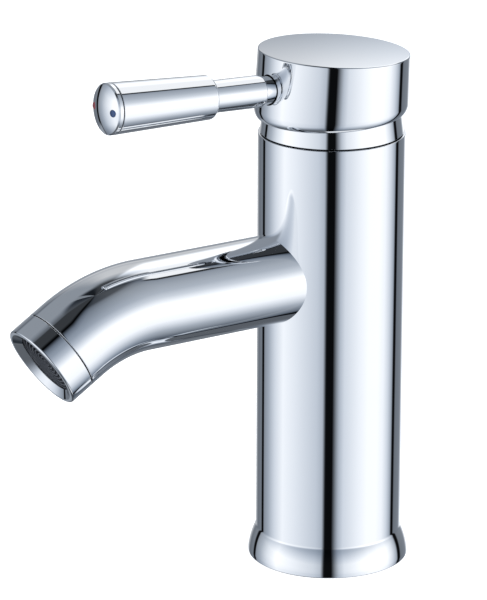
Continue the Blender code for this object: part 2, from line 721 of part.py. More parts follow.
def lever_place():
    """The lever's frame in the cap's: local +Z points out along the lever."""
    down = Matrix.Rotation(math.pi / 2.0 + LEVER_DROOP, 4, "X")
    return at(0.0, -CAP_SETBACK, LEVER_HEIGHT) @ down


def rod_tip():
    """Where the rod's thread ends, against the front of the stem."""
    lean = STEM_LEAN + CAP_TILT
    front = (LEVER_HEIGHT + ROD_THREAD_RADIUS) * math.tan(lean)
    front += STEM_SIDE / 2.0 / math.cos(lean)
    return front - CAP_SETBACK + GAP


def build_lever_rod(lever):
    profile = [
        (0.0, ROD_END + ROD_SPIGOT_LENGTH),
        (ROD_SPIGOT_RADIUS, ROD_END + ROD_SPIGOT_LENGTH),
        (ROD_SPIGOT_RADIUS, ROD_END - GAP),
        (ROD_RADIUS, ROD_END - GAP),
    ]
    edge = (ROD_RADIUS - ROD_EDGE, ROD_START + ROD_EDGE)
    profile += arc(edge, ROD_EDGE, 0.0, -math.pi / 2.0, EDGE_STEPS)
    profile += [
        (ROD_NECK_RADIUS, ROD_START),
        (ROD_NECK_RADIUS, ROD_NECK_INNER_END + GAP),
        (ROD_THREAD_RADIUS, ROD_NECK_INNER_END + GAP),
        (ROD_THREAD_RADIUS, rod_tip()),
        (0.0, rod_tip()),
    ]
    add_piece("lever_rod", turned_mesh(profile, LEVER_SIDES), CHROME, Matrix(), lever)


def build_lever_grip(lever):
    bore = ROD_SPIGOT_RADIUS + GAP
    spigot = END_CAP_SPIGOT_RADIUS + GAP
    shelf = GRIP_END - END_CAP_SPIGOT_LENGTH - GAP
    centre = (GRIP_START_RADIUS - GRIP_SHOULDER, ROD_END + GRIP_SHOULDER)
    profile = [(GRIP_END_RADIUS, GRIP_END)]
    profile += arc(centre, GRIP_SHOULDER, 0.0, -math.pi / 2.0, EDGE_STEPS)
    profile += [(bore, ROD_END), (bore, shelf), (spigot, shelf), (spigot, GRIP_END)]
    add_piece("lever_grip", turned_mesh(profile, LEVER_SIDES), CHROME, Matrix(), lever)


def dome_radius():
    base = GRIP_END_RADIUS - END_CAP_EDGE
    return (base**2 + END_CAP_DOME**2) / (2.0 * END_CAP_DOME)


def dome_height(distance):
    """Height of the end cap's dome above its band, this far from its centre."""
    radius = dome_radius()
    return math.sqrt(radius**2 - distance**2) - (radius - END_CAP_DOME)


def build_lever_end_cap(lever):
    bottom = GRIP_END + GAP
    band_top = bottom + END_CAP_BAND
    base = GRIP_END_RADIUS - END_CAP_EDGE
    distances = [base * i / DOME_STEPS for i in range(DOME_STEPS + 1)]
    profile = [(r, band_top + dome_height(r)) for r in distances]
    profile += [
        (GRIP_END_RADIUS, band_top - END_CAP_EDGE),
        (GRIP_END_RADIUS, bottom),
        (END_CAP_SPIGOT_RADIUS, bottom),
        (END_CAP_SPIGOT_RADIUS, GRIP_END - END_CAP_SPIGOT_LENGTH),
        (0.0, GRIP_END - END_CAP_SPIGOT_LENGTH),
    ]
    mesh = turned_mesh(profile, LEVER_SIDES)
    end_cap = add_piece("lever_end_cap", mesh, CHROME, Matrix(), lever)
    face = band_top + dome_height(INDEX_X)
    floor = face - INDEX_DEPTH
    for name, x, look in (("hot_index", -INDEX_X, RED_INLAY), ("cold_index", INDEX_X, BLUE_INLAY)):
        hole = rod_mesh(INDEX_RADIUS + GAP, floor, face + OVERCUT, COARSE)
        combine(end_cap, add_cutter(name + "_hole", hole, at(x, 0.0, 0.0), lever))
        inlay = rod_mesh(INDEX_RADIUS, floor + GAP, face + INDEX_PROUD, COARSE)
        add_piece(name, inlay, look, at(x, 0.0, 0.0), lever)


def spout_points(start_y):
    """The spout's centreline in the plane x = 0, from start_y to the aerator joint."""
    points = [(0.0, start_y, SPOUT_Z), (0.0, -SPOUT_STRAIGHT, SPOUT_Z)]
    for i in range(1, SPOUT_BEND_STEPS + 1):
        a = SPOUT_BEND * i / SPOUT_BEND_STEPS
        y = -SPOUT_STRAIGHT - SPOUT_BEND_RADIUS * math.sin(a)
        z = SPOUT_Z - SPOUT_BEND_RADIUS * (1.0 - math.cos(a))
        points.append((0.0, y, z))
    return points


def spout_direction():
    return Vector((0.0, -math.cos(SPOUT_BEND), -math.sin(SPOUT_BEND)))


def build_spout():
    points = spout_points(-OVERCUT)
    end = Vector(points[-1]) + spout_direction() * SPOUT_END_STRAIGHT
    outer = tube_mesh(points + [tuple(end)], SPOUT_RADIUS, SPOUT_SIDES)
    spout = add_piece("spout", outer, CHROME)
    past = end + spout_direction() * OVERCUT
    inner_radius = SPOUT_RADIUS - SPOUT_WALL
    inner = tube_mesh(spout_points(0.0) + [tuple(past)], inner_radius, SPOUT_SIDES)
    combine(spout, add_cutter("spout_bore", inner))
    bore = BODY_RADIUS - BODY_WALL
    height = SPOUT_RADIUS + OVERCUT
    cope = rod_mesh(bore, SPOUT_Z - height, SPOUT_Z + height, FINE)
    combine(spout, add_cutter("spout_cope", cope))
    return end


def build_aerator(tip):
    """The pieces at the spout's end, turned about the spout's axis: local +Z points out."""
    bore = SPOUT_RADIUS - SPOUT_WALL
    spigot = bore - GAP
    inside = spigot - AERATOR_WALL
    lip_start = AERATOR_RING_LENGTH - AERATOR_LIP_LENGTH
    centre = (SPOUT_RADIUS - AERATOR_EDGE, AERATOR_RING_LENGTH - AERATOR_EDGE)
    profile = [(inside - AERATOR_LIP, AERATOR_RING_LENGTH)]
    profile += arc(centre, AERATOR_EDGE, math.pi / 2.0, 0.0, EDGE_STEPS)
    profile += [
        (SPOUT_RADIUS, GAP),
        (spigot, GAP),
        (spigot, -AERATOR_SPIGOT_LENGTH),
        (inside, -AERATOR_SPIGOT_LENGTH),
        (inside, lip_start),
        (inside - AERATOR_LIP, lip_start),
    ]
    add_piece("aerator_housing", turned_mesh(profile, SPOUT_SIDES), CHROME, Matrix(), tip)
    gasket_top = -AERATOR_SPIGOT_LENGTH - GAP
    gasket_bottom = gasket_top - GASKET_THICKNESS
    gasket = ring_mesh(spigot - GASKET_WIDTH, spigot, gasket_bottom, gasket_top)
    add_piece("aerator_gasket", gasket, BLACK_RUBBER, Matrix(), tip)
    grille_top = lip_start - GAP
    build_grille(inside - GAP, grille_top, tip)
    screen_top = grille_top - GRILLE_LENGTH - GAP
    screen = rod_mesh(inside - GAP, screen_top - SCREEN_THICKNESS, screen_top)
    add_piece("aerator_screen", screen, STEEL, Matrix(), tip)
    build_jet_cup(inside - GAP, screen_top - SCREEN_THICKNESS - GAP, tip)


def build_grille(radius, top, tip):
    """Concentric rings joined by ribs, which straighten the stream."""
    bottom = top - GRILLE_LENGTH
    rim = ring_mesh(radius - GRILLE_WALL, radius, bottom, top)
    grille = add_piece("aerator_grille", rim, GREY_PLASTIC, Matrix(), tip)
    pitch = radius / (GRILLE_RINGS + 1)
    for i in range(1, GRILLE_RINGS + 1):
        outer = pitch * i + GRILLE_WALL / 2.0
        mesh = ring_mesh(outer - GRILLE_WALL, outer, bottom, top, COARSE)
        combine(grille, add_cutter(f"grille_ring_{i}", mesh, Matrix(), tip), "UNION")
    half = GRILLE_WALL / 2.0
    rib_top = top - GRILLE_LENGTH / 3.0
    for i in range(GRILLE_RIBS):
        rib = box_mesh((0.0, -half, bottom), (radius - half, half, rib_top))
        turn = Matrix.Rotation(math.tau * i / GRILLE_RIBS + GRILLE_TURN, 4, "Z")
        combine(grille, add_cutter(f"grille_rib_{i}", rib, turn, tip), "UNION")


def build_jet_cup(radius, top, tip):
    """The drilled cup behind the screen that splits the water into jets."""
    bottom = -AERATOR_SPIGOT_LENGTH
    plate_top = bottom + JET_PLATE_THICKNESS
    profile = [
        (0.0, plate_top),
        (radius - JET_CUP_WALL, plate_top),
        (radius - JET_CUP_WALL, top),
        (radius, top),
        (radius, bottom),
        (0.0, bottom),
    ]
    cup = add_piece("aerator_jet_cup", turned_mesh(profile), GREY_PLASTIC, Matrix(), tip)
    for i in range(JET_COUNT):
        hole = rod_mesh(JET_RADIUS, bottom - OVERCUT, plate_top + OVERCUT, JET_SIDES)
        turn = Matrix.Rotation(math.tau * i / JET_COUNT, 4, "Z") @ at(JET_CIRCLE, 0.0, 0.0)
        combine(cup, add_cutter(f"jet_{i}", hole, turn, tip))


def main():
    levels = cartridge_levels()
    build_body()
    build_base_gasket()
    build_inlet_plate()
    build_risers()
    build_valve_body(levels)
    build_cartridge_base(levels)
    build_fixed_disc(levels)
    build_moving_disc(levels)
    build_disc_carrier(levels)
    build_turret(levels)
    build_cartridge_case(levels)
    build_cartridge_nut(levels)
    build_collar_seal()
    build_collar()
    pivot_point = at(0.0, 0.0, PIVOT_Z)
    build_stem(levels, new_empty("stem_pivot", pivot_point))
    cap_pivot = new_empty("cap_pivot", pivot_point @ Matrix.Rotation(-CAP_TILT, 4, "X"))
    build_handle_cap(cap_pivot)
    lever = new_empty("lever_axis", lever_place(), cap_pivot)
    build_lever_rod(lever)
    build_lever_grip(lever)
    build_lever_end_cap(lever)
    end = build_spout()
    tip = new_empty("spout_tip", at(*end) @ Matrix.Rotation(math.pi / 2.0 + SPOUT_BEND, 4, "X"))
    build_aerator(tip)


clear_scene()
FAUCET = new_collection("bathroom_mixer_faucet")
CUTTERS = new_collection("cutters")
main()
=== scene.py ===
"""The looks of the bathroom mixer faucet: fine turned and swept metal, materials, studio and camera.

Every length is in metres in the row frame: +Z up, the spout and the lever along -Y.
"""

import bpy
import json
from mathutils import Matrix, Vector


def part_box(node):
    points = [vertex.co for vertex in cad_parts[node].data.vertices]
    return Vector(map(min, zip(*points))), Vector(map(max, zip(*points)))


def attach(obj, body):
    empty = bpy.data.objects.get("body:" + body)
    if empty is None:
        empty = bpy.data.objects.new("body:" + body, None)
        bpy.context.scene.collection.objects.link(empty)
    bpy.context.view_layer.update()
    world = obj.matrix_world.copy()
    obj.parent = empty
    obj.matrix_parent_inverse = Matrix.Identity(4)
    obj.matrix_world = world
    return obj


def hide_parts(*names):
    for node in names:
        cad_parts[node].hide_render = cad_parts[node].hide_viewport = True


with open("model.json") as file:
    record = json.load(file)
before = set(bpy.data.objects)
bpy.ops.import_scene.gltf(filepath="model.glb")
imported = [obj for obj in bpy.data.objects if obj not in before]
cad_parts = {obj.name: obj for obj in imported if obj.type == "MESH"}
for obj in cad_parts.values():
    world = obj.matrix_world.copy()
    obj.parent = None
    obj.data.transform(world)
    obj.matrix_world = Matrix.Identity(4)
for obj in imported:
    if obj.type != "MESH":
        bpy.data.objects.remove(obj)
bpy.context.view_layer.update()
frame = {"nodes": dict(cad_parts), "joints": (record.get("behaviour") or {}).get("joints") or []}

import json
import math

import bmesh
import bpy
from mathutils import Matrix, Vector

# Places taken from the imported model
BODY_LOW, BODY_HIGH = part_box("body")
FOOT_RADIUS = (BODY_HIGH[0] - BODY_LOW[0]) / 2.0
BODY_HEIGHT = BODY_HIGH[2]
PIVOT = Vector(next(j["pos_m"] for j in frame["joints"] if j["name"] == "handle_tilt"))

# Sizes of the turned shapes. They are the CAD model's, apart from finer edges, colour dots set closer
# in their holes, the shape of the aerator ring's mouth and a finer grille behind it
GAP = 0.0003
OVERCUT = 0.0020

# Body column and its gasket
BODY_RADIUS = FOOT_RADIUS - 0.0024
BODY_WALL = 0.0020
BODY_EDGE = 0.00025
BODY_CHAMFER = 0.0004
FOOT_HEIGHT = 0.0091
FOOT_ARC_RADIUS = 0.0227
FOOT_LAND = 0.0012
FOOT_EDGE = 0.0003
CREASE_ROUNDING = 0.0035
CREASE_RISE = 0.0040
GROOVE_WIDTH = 0.0026
GROOVE_DEPTH = 0.0025
GASKET_EDGE = 0.0003
GASKET_LIP_EDGE = 0.0005

# Collar and its seal
COLLAR_RADIUS = BODY_RADIUS - 0.00065
COLLAR_TAPER = math.radians(7.0)
COLLAR_CONE_HEIGHT = 0.0062
COLLAR_ROUNDING = 0.0028
COLLAR_EDGE = 0.00018
COLLAR_WALL = 0.0020
COLLAR_TOP_WIDTH = 0.0048
COLLAR_SPIGOT_DEPTH = 0.0022
COLLAR_SPIGOT_WALL = 0.0018
COLLAR_SEAL_HEIGHT = 0.0006
COLLAR_SEAL_WIDTH = 0.0016
COLLAR_SEAL_EDGE = 0.0001

# Handle cap. Heights are above the pivot, along the cap's own axis or, for STEM_TOP, the stem's
CAP_TILT = math.radians(3.0)
CAP_SETBACK = 0.0009
CAP_TOP = 0.0291
CAP_RIM = 0.0094
CAP_RIM_SLANT = math.radians(5.6)
CAP_TOP_RADIUS = BODY_RADIUS + 0.0006
CAP_SIDE_RADIUS = BODY_RADIUS + 0.0010
CAP_RIM_RADIUS = BODY_RADIUS - 0.0004
CAP_BORE_RADIUS = BODY_RADIUS - 0.00075
CAP_RIM_ROUNDING = 0.0030
CAP_EDGE = 0.0005
CAP_ROOF = 0.0025
CAP_CROWN = 0.0002
STEM_LEAN = math.radians(10.0)
STEM_SIDE = 0.0080
STEM_TOP = 0.0205
BOSS_RADIUS = 0.0080
BOSS_BOTTOM = 0.01296
BOSS_OVERLAP = 0.0010
WEB_HALF_WIDTH = 0.0070
WEB_REACH = 0.0210
WEB_OVERLAP = 0.0005

# Lever. Distances are from the cap's axis
LEVER_HEIGHT = 0.0187
LEVER_DROOP = math.radians(0.6)
ROD_RADIUS = 0.0050
ROD_START = CAP_SIDE_RADIUS + 0.0030
ROD_END = ROD_START + 0.0183
ROD_TIP = 0.0092
ROD_EDGE = 0.0007
NECK_RADIUS = 0.0044
NECK_END = 0.0197
NECK_HOLE_RADIUS = 0.0048
NECK_HOLE_END = 0.0192
THREAD_RADIUS = 0.0030
THREAD_HOLE_START = 0.0060
THREAD_EDGE = 0.0004
ROD_SPIGOT_RADIUS = 0.0032
ROD_SPIGOT_LENGTH = 0.0110
ROD_SPIGOT_EDGE = 0.0004
ROD_SEAM_EDGE = 0.0001
GRIP_START_RADIUS = 0.0068
GRIP_END_RADIUS = 0.0079
GRIP_END = ROD_END + 0.0344
GRIP_SHOULDER = 0.0010
GRIP_EDGE = 0.00018
END_CAP_BAND = 0.0016
END_CAP_DOME = 0.0016
END_CAP_EDGE = 0.0004
END_CAP_CORNER = 0.0002
END_CAP_SEAM_EDGE = 0.00015
END_CAP_SPIGOT_RADIUS = 0.0055
END_CAP_SPIGOT_LENGTH = 0.0070
INDEX_RADIUS = 0.0011
INDEX_X = 0.0053
INDEX_DEPTH = 0.0008
INDEX_CLEARANCE = 0.00005
INDEX_PROUD = 0.00006
INDEX_CROWN = 0.00002
INDEX_EDGE = 0.0001

# Spout
SPOUT_Z = BODY_HEIGHT - 0.0443
SPOUT_RADIUS = 0.0140
SPOUT_WALL = 0.0020
SPOUT_STRAIGHT = 0.0695
SPOUT_BEND_RADIUS = 0.0470
SPOUT_BEND = math.radians(31.5)
SPOUT_END_STRAIGHT = 0.0047
SPOUT_EDGE = 0.0002
SPOUT_CLEAR_OF_BODY = 0.0260

# Aerator ring and the grille in its mouth
RING_LENGTH = 0.0081
RING_SPIGOT = 0.0050
RING_BORE = 0.0106
RING_LIP = 0.0102
RING_LIP_LENGTH = 0.0019
RING_LIP_LAND = 0.00015
RING_MOUTH = 0.0127
RING_MOUTH_EDGE = 0.0002
RING_OUTER_EDGE = 0.0008
RING_SEAM_EDGE = 0.00018
GRILLE_DEPTH = 0.0030
GRILLE_WALL = 0.00055
GRILLE_EDGE = 0.00012
GRILLE_RINGS = 8
GRILLE_RIBS = 8
GRILLE_TURN = 0.3
RIB_START = 0.0010
RIB_DROP = 0.0008
RIB_LIFT = 0.0001

# Facets round a turned piece, and the angle above which an edge stays sharp
FINE = 192
MEDIUM = 96
SMALL = 48
SHARP_ANGLE = math.radians(35.0)
# The short flat beside each rounded edge
SUPPORT = 0.00006

# ---------------------------------------------------------------- shape helpers


def at(x, y, z):
    return Matrix.Translation((x, y, z))


def rounded(corners, closed=True, steps=6):
    """Points along a (radius, height, rounding) outline, with arcs at its rounded corners.

    A short edge before and after each arc keeps the flats next to it shading flat.
    """
    points = []
    count = len(corners)
    for i, (r, z, rounding) in enumerate(corners):
        here = Vector((r, z))
        ends = not closed and i in (0, count - 1)
        if rounding == 0.0 or ends:
            points.append((r, z))
            continue
        before = Vector(corners[i - 1][:2]) - here
        after = Vector(corners[(i + 1) % count][:2]) - here
        reach_limit = 0.48 * min(before.length, after.length)
        u, v = before.normalized(), after.normalized()
        half = u.angle(v) / 2.0
        reach = min(rounding / math.tan(half), reach_limit)
        radius = reach * math.tan(half)
        centre = here + (u + v).normalized() * (radius / math.sin(half))
        first, last = here + u * reach, here + v * reach
        a, b = first - centre, last - centre
        sweep = a.angle_signed(b)
        flat = min(SUPPORT, 0.3 * reach)
        points.append(tuple(first + u * flat))
        for k in range(steps + 1):
            turn = -sweep * k / steps
            x = a.x * math.cos(turn) - a.y * math.sin(turn)
            y = a.x * math.sin(turn) + a.y * math.cos(turn)
            points.append((centre.x + x, centre.y + y))
        points.append(tuple(last + v * flat))
    return points


def arc_points(start, end, radius, steps):
    """A bulging arc from start to end in the (radius, height) plane, both ends included."""
    a, b = Vector(start), Vector(end)
    chord = b - a
    inward = Vector((chord.y, -chord.x)).normalized()
    centre = (a + b) / 2.0 + inward * math.sqrt(radius**2 - (chord.length / 2.0) ** 2)
    first = math.atan2(a.y - centre.y, a.x - centre.x)
    last = math.atan2(b.y - centre.y, b.x - centre.x)
    angles = [first + (last - first) * i / steps for i in range(steps + 1)]
    return [(centre.x + radius * math.cos(t), centre.y + radius * math.sin(t)) for t in angles]


def object_from(name, shape):
    """A shown object from a bmesh, with outward faces, smooth except at real corners."""
    bmesh.ops.recalc_face_normals(shape, faces=shape.faces)
    mesh = bpy.data.meshes.new(name)
    shape.to_mesh(mesh)
    shape.free()
    mesh.shade_smooth()
    mesh.set_sharp_from_angle(angle=SHARP_ANGLE)
    obj = bpy.data.objects.new(name, mesh)
    bpy.context.scene.collection.objects.link(obj)
    return obj


def lathe(name, outline, sides, matrix=Matrix(), shear=None):
    """A closed turned solid about local Z. An outline that begins on the axis also ends on it."""
    shape = bmesh.new()
    solid = outline[0][0] == 0.0
    rows = []
    for r, z in outline:
        if r == 0.0:
            rows.append([shape.verts.new((0.0, 0.0, z))])
            continue
        turns = [math.tau * k / sides for k in range(sides)]
        rows.append([shape.verts.new((r * math.cos(t), r * math.sin(t), z)) for t in turns])
    pairs = list(zip(rows, rows[1:])) + ([] if solid else [(rows[-1], rows[0])])
    for a, b in pairs:
        for k in range(sides):
            n = (k + 1) % sides
            if len(a) == 1:
                shape.faces.new((a[0], b[k], b[n]))
            elif len(b) == 1:
                shape.faces.new((a[k], a[n], b[0]))
            else:
                shape.faces.new((a[k], a[n], b[n], b[k]))
    if shear:
        for vertex in shape.verts:
            vertex.co.z = shear(vertex.co)
    bmesh.ops.transform(shape, matrix=matrix, verts=shape.verts)
    return object_from(name, shape)


def box(name, low, high, matrix=Matrix()):
    shape = bmesh.new()
    bmesh.ops.create_cube(shape, size=1.0)
    size = [b - a for a, b in zip(low, high)]
    middle = [(a + b) / 2.0 for a, b in zip(low, high)]
    bmesh.ops.scale(shape, vec=size, verts=shape.verts)
    bmesh.ops.translate(shape, vec=middle, verts=shape.verts)
    bmesh.ops.transform(shape, matrix=matrix, verts=shape.verts)
    return object_from(name, shape)


def rod(name, radius, bottom, top, sides=SMALL, matrix=Matrix()):
    return lathe(name, [(0.0, top), (radius, top), (radius, bottom), (0.0, bottom)], sides, matrix)


def combine(piece, other, operation="DIFFERENCE"):
    """Applies a Boolean with other, which is then removed."""
    boolean = piece.modifiers.new("combine", "BOOLEAN")
    boolean.operation = operation
    boolean.solver = "EXACT"
    boolean.object = other
    bpy.context.view_layer.update()
    graph = bpy.context.evaluated_depsgraph_get()
    mesh = bpy.data.meshes.new_from_object(piece.evaluated_get(graph))
    piece.modifiers.clear()
    piece.data = mesh
    mesh.shade_smooth()
    mesh.set_sharp_from_angle(angle=SHARP_ANGLE)
    bpy.data.objects.remove(other, do_unlink=True)


def belongs(piece, body, node, look):
    """The piece rides on its CAD body, stands for its CAD node and wears its material."""
    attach(piece, body)
    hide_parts(node)
    piece.data.materials.clear()
    piece.data.materials.append(look)
    return piece


# ---------------------------------------------------------------- material helpers


class Nodes:
    """A material's or world's node tree, with short calls for the nodes used here."""

    def __init__(self, tree):
        self.tree = tree

    def add(self, kind, **settings):
        node = self.tree.nodes.new(kind)
        for key, value in settings.items():
            setattr(node, key, value)
        return node

    def join(self, source, socket):
        if hasattr(source, "links"):
            self.tree.links.new(source, socket)
        else:
            socket.default_value = source

    def math(self, operation, a, b=0.0):
        node = self.add("ShaderNodeMath", operation=operation)
        self.join(a, node.inputs[0])
        self.join(b, node.inputs[1])
        return node.outputs[0]

    def span(self, value, low, high, to_low=0.0, to_high=1.0, smooth=False):
        node = self.add("ShaderNodeMapRange", clamp=True)
        node.interpolation_type = "SMOOTHSTEP" if smooth else "LINEAR"
        self.join(value, node.inputs["Value"])
        ends = {"From Min": low, "From Max": high, "To Min": to_low, "To Max": to_high}
        for key, number in ends.items():
            node.inputs[key].default_value = number
        return node.outputs["Result"]

    def fade(self, value, start, end):
        """A smooth step from 0 at start to 1 at end, in degrees."""
        return self.span(value, math.radians(start), math.radians(end), smooth=True)

    def band(self, value, low, high, soft):
        """1 between low and high, in degrees, falling off over soft degrees outside them."""
        return self.math("MULTIPLY", self.fade(value, low - soft, low), self.fade(value, high + soft, high))

    def mix(self, factor, a, b, blend="MIX"):
        node = self.add("ShaderNodeMix", data_type="RGBA", blend_type=blend)
        self.join(factor, node.inputs["Factor"])
        self.join(a, node.inputs["A"])
        self.join(b, node.inputs["B"])
        return node.outputs["Result"]

    def noise(self, scale, detail):
        where = self.add("ShaderNodeTexCoord").outputs["Object"]
        node = self.add("ShaderNodeTexNoise")
        self.join(where, node.inputs["Vector"])
        node.inputs["Scale"].default_value = scale
        node.inputs["Detail"].default_value = detail
        return node.outputs["Fac"]

    def ramp(self, value, stops):
        node = self.add("ShaderNodeValToRGB")
        ramp = node.color_ramp
        while len(ramp.elements) < len(stops):
            ramp.elements.new(1.0)
        for element, (place, colour) in zip(ramp.elements, stops):
            element.position = place
            element.color = (*colour, 1.0)
        self.join(value, node.inputs["Fac"])
        return node.outputs["Color"]


# How soon a dimmer light turns cool, and how much red it loses and blue it gains
COOL_RATE = 1.6
COOL_RED_LOSS = 0.10
COOL_BLUE_GAIN = 0.14


def cooled(level):
    """A light level as a colour: what is less than full bright leans to blue."""
    cool = min(1.0, COOL_RATE * max(0.0, 1.0 - level))
    return (level * (1.0 - COOL_RED_LOSS * cool), level, level * (1.0 + COOL_BLUE_GAIN * cool))


def studio_light(grey):
    """A panel's colour for a display grey, 0 to 255, with the sRGB curve undone."""
    c = grey / 255.0
    return cooled(c / 12.92 if c <= 0.04045 else ((c + 0.055) / 1.055) ** 2.4)


# Each material slot's look: two colours that drift into each other over patches, its lowest and
# highest roughness, the patch and grain noise scales per metre, and its relief's strength and depth
SURFACES = {
    "chrome_plate": {
        "colours": ((0.930, 0.940, 0.955), (0.912, 0.924, 0.942)),
        "metallic": 1.0,
        "roughness": (0.008, 0.022),
        "scales": (45.0, 700.0),
        "relief": (0.02, 0.00001),
    },
    "brass": {
        "colours": ((0.72, 0.53, 0.26), (0.60, 0.43, 0.20)),
        "metallic": 1.0,
        "roughness": (0.22, 0.38),
        "scales": (160.0, 1800.0),
        "relief": (0.25, 0.00004),
    },
    "copper": {
        "colours": ((0.80, 0.45, 0.30), (0.62, 0.32, 0.20)),
        "metallic": 1.0,
        "roughness": (0.25, 0.42),
        "scales": (120.0, 1600.0),
        "relief": (0.20, 0.00003),
    },
    "stainless_steel": {
        "colours": ((0.50, 0.50, 0.52), (0.42, 0.42, 0.44)),
        "metallic": 1.0,
        "roughness": (0.24, 0.36),
        "scales": (200.0, 2500.0),
        "relief": (0.20, 0.00003),
    },
    "alumina_ceramic": {
        "colours": ((0.88, 0.87, 0.84), (0.83, 0.82, 0.79)),
        "metallic": 0.0,
        "roughness": (0.12, 0.22),
        "scales": (220.0, 3000.0),
        "relief": (0.08, 0.00002),
    },
    "white_acetal": {
        "colours": ((0.85, 0.85, 0.83), (0.80, 0.80, 0.77)),
        "metallic": 0.0,
        "roughness": (0.32, 0.46),
        "scales": (150.0, 2200.0),
        "relief": (0.15, 0.00003),
    },
    "grey_plastic": {
        "colours": ((0.150, 0.155, 0.170), (0.105, 0.108, 0.122)),
        "metallic": 0.0,
        "roughness": (0.36, 0.52),
        "scales": (250.0, 3200.0),
        "relief": (0.20, 0.00003),
    },
    "black_rubber": {
        "colours": ((0.020, 0.020, 0.021), (0.030, 0.030, 0.030)),
        "metallic": 0.0,
        "roughness": (0.55, 0.75),
        "scales": (260.0, 3500.0),
        "relief": (0.35, 0.00005),
    },
    "red_inlay": {
        "colours": ((0.40, 0.030, 0.035), (0.30, 0.02, 0.028)),
        "metallic": 0.0,
        "roughness": (0.16, 0.28),
        "scales": (900.0, 5000.0),
        "relief": (0.10, 0.00002),
    },
    "blue_inlay": {
        "colours": ((0.030, 0.10, 0.30), (0.022, 0.075, 0.24)),
        "metallic": 0.0,
        "roughness": (0.16, 0.28),
        "scales": (900.0, 5000.0),
        "relief": (0.10, 0.00002),
    },
}
ENAMEL = ("red_inlay", "blue_inlay")
ENAMEL_COAT = {"Coat Weight": 0.8, "Coat Roughness": 0.05}
# How much of the roughness follows the patches; the rest follows the grain
PATCH_SHARE = 0.7
# The noise values that give the lowest and the highest roughness
NOISE_RANGE = (0.3, 0.7)


def surface(name, colours, metallic, roughness, scales, relief):
    """A procedural surface: colour and roughness drift over patches, with a fine grain in its relief."""
    material = bpy.data.materials.new(name)
    material.use_nodes = True
    nodes = Nodes(material.node_tree)
    shader = material.node_tree.nodes["Principled BSDF"]
    drift = nodes.noise(scales[0], 3.0)
    fine = nodes.noise(scales[1], 2.0)
    first, second = colours
    nodes.join(nodes.mix(drift, (*first, 1.0), (*second, 1.0)), shader.inputs["Base Color"])
    by_patch = nodes.math("MULTIPLY", drift, PATCH_SHARE)
    by_grain = nodes.math("MULTIPLY", fine, 1.0 - PATCH_SHARE)
    blend = nodes.math("ADD", by_patch, by_grain)
    nodes.join(nodes.span(blend, *NOISE_RANGE, *roughness), shader.inputs["Roughness"])
    shader.inputs["Metallic"].default_value = metallic
    bump = nodes.add("ShaderNodeBump")
    bump.inputs["Strength"].default_value = relief[0]
    bump.inputs["Distance"].default_value = relief[1]
    nodes.join(fine, bump.inputs["Height"])
    nodes.join(bump.outputs["Normal"], shader.inputs["Normal"])
    return material


def make_materials():
    looks = {name: surface(name, **look) for name, look in SURFACES.items()}
    for name in ENAMEL:
        shader = looks[name].node_tree.nodes["Principled BSDF"]
        for socket, value in ENAMEL_COAT.items():
            shader.inputs[socket].default_value = value
    return looks


# ---------------------------------------------------------------- the object


def build_body(looks):
    bore = BODY_RADIUS - BODY_WALL
    groove_inner = bore + (FOOT_RADIUS - bore - GROOVE_WIDTH) / 2.0
    groove_outer = groove_inner + GROOVE_WIDTH
    top = [
        (bore, BODY_HEIGHT - BODY_CHAMFER, 0.0),
        (bore + BODY_CHAMFER, BODY_HEIGHT, 0.0),
        (BODY_RADIUS, BODY_HEIGHT, BODY_EDGE),
        (BODY_RADIUS, FOOT_HEIGHT, 0.0),
    ]
    outline = rounded(top, closed=False)[:-1]
    # Rows just above and below the spout keep the facets cut by its hole short
    near = SPOUT_RADIUS + 0.0015
    outline += [(BODY_RADIUS, SPOUT_Z + near), (BODY_RADIUS, SPOUT_Z - near)]
    foot = arc_points((BODY_RADIUS, FOOT_HEIGHT), (FOOT_RADIUS, FOOT_LAND), FOOT_ARC_RADIUS, 24)
    # The crease's fillet ends before this point of the foot's arc
    landing = 3
    above = (BODY_RADIUS, FOOT_HEIGHT + CREASE_RISE, 0.0)
    crease = [above, (*foot[0], CREASE_ROUNDING), (*foot[landing], 0.0)]
    outline += rounded(crease, closed=False, steps=8)[:-1]
    outline += foot[landing:]
    sole = [(FOOT_RADIUS, FOOT_LAND, 0.0), (FOOT_RADIUS, 0.0, FOOT_EDGE), (groove_outer, 0.0, 0.0)]
    outline += rounded(sole, closed=False)[1:]
    outline += [(groove_outer, GROOVE_DEPTH), (groove_inner, GROOVE_DEPTH)]
    outline += [(groove_inner, 0.0), (bore, 0.0)]
    body = lathe("column_body", outline, FINE)
    side = at(0.0, 0.0, SPOUT_Z) @ Matrix.Rotation(math.pi / 2.0, 4, "X")
    combine(body, rod("hole", SPOUT_RADIUS - 0.0005, 0.0, BODY_RADIUS + OVERCUT, MEDIUM, side))
    belongs(body, "faucet", "body", looks["chrome_plate"])
    ring = rounded(
        [
            (groove_inner + GAP, GROOVE_DEPTH - GAP, GASKET_EDGE),
            (groove_outer - GAP, GROOVE_DEPTH - GAP, GASKET_EDGE),
            (groove_outer - GAP, 0.0, GASKET_LIP_EDGE),
            (groove_inner + GAP, 0.0, GASKET_LIP_EDGE),
        ]
    )
    gasket = lathe("foot_gasket", ring, MEDIUM)
    belongs(gasket, "faucet", "base_gasket", looks["black_rubber"])


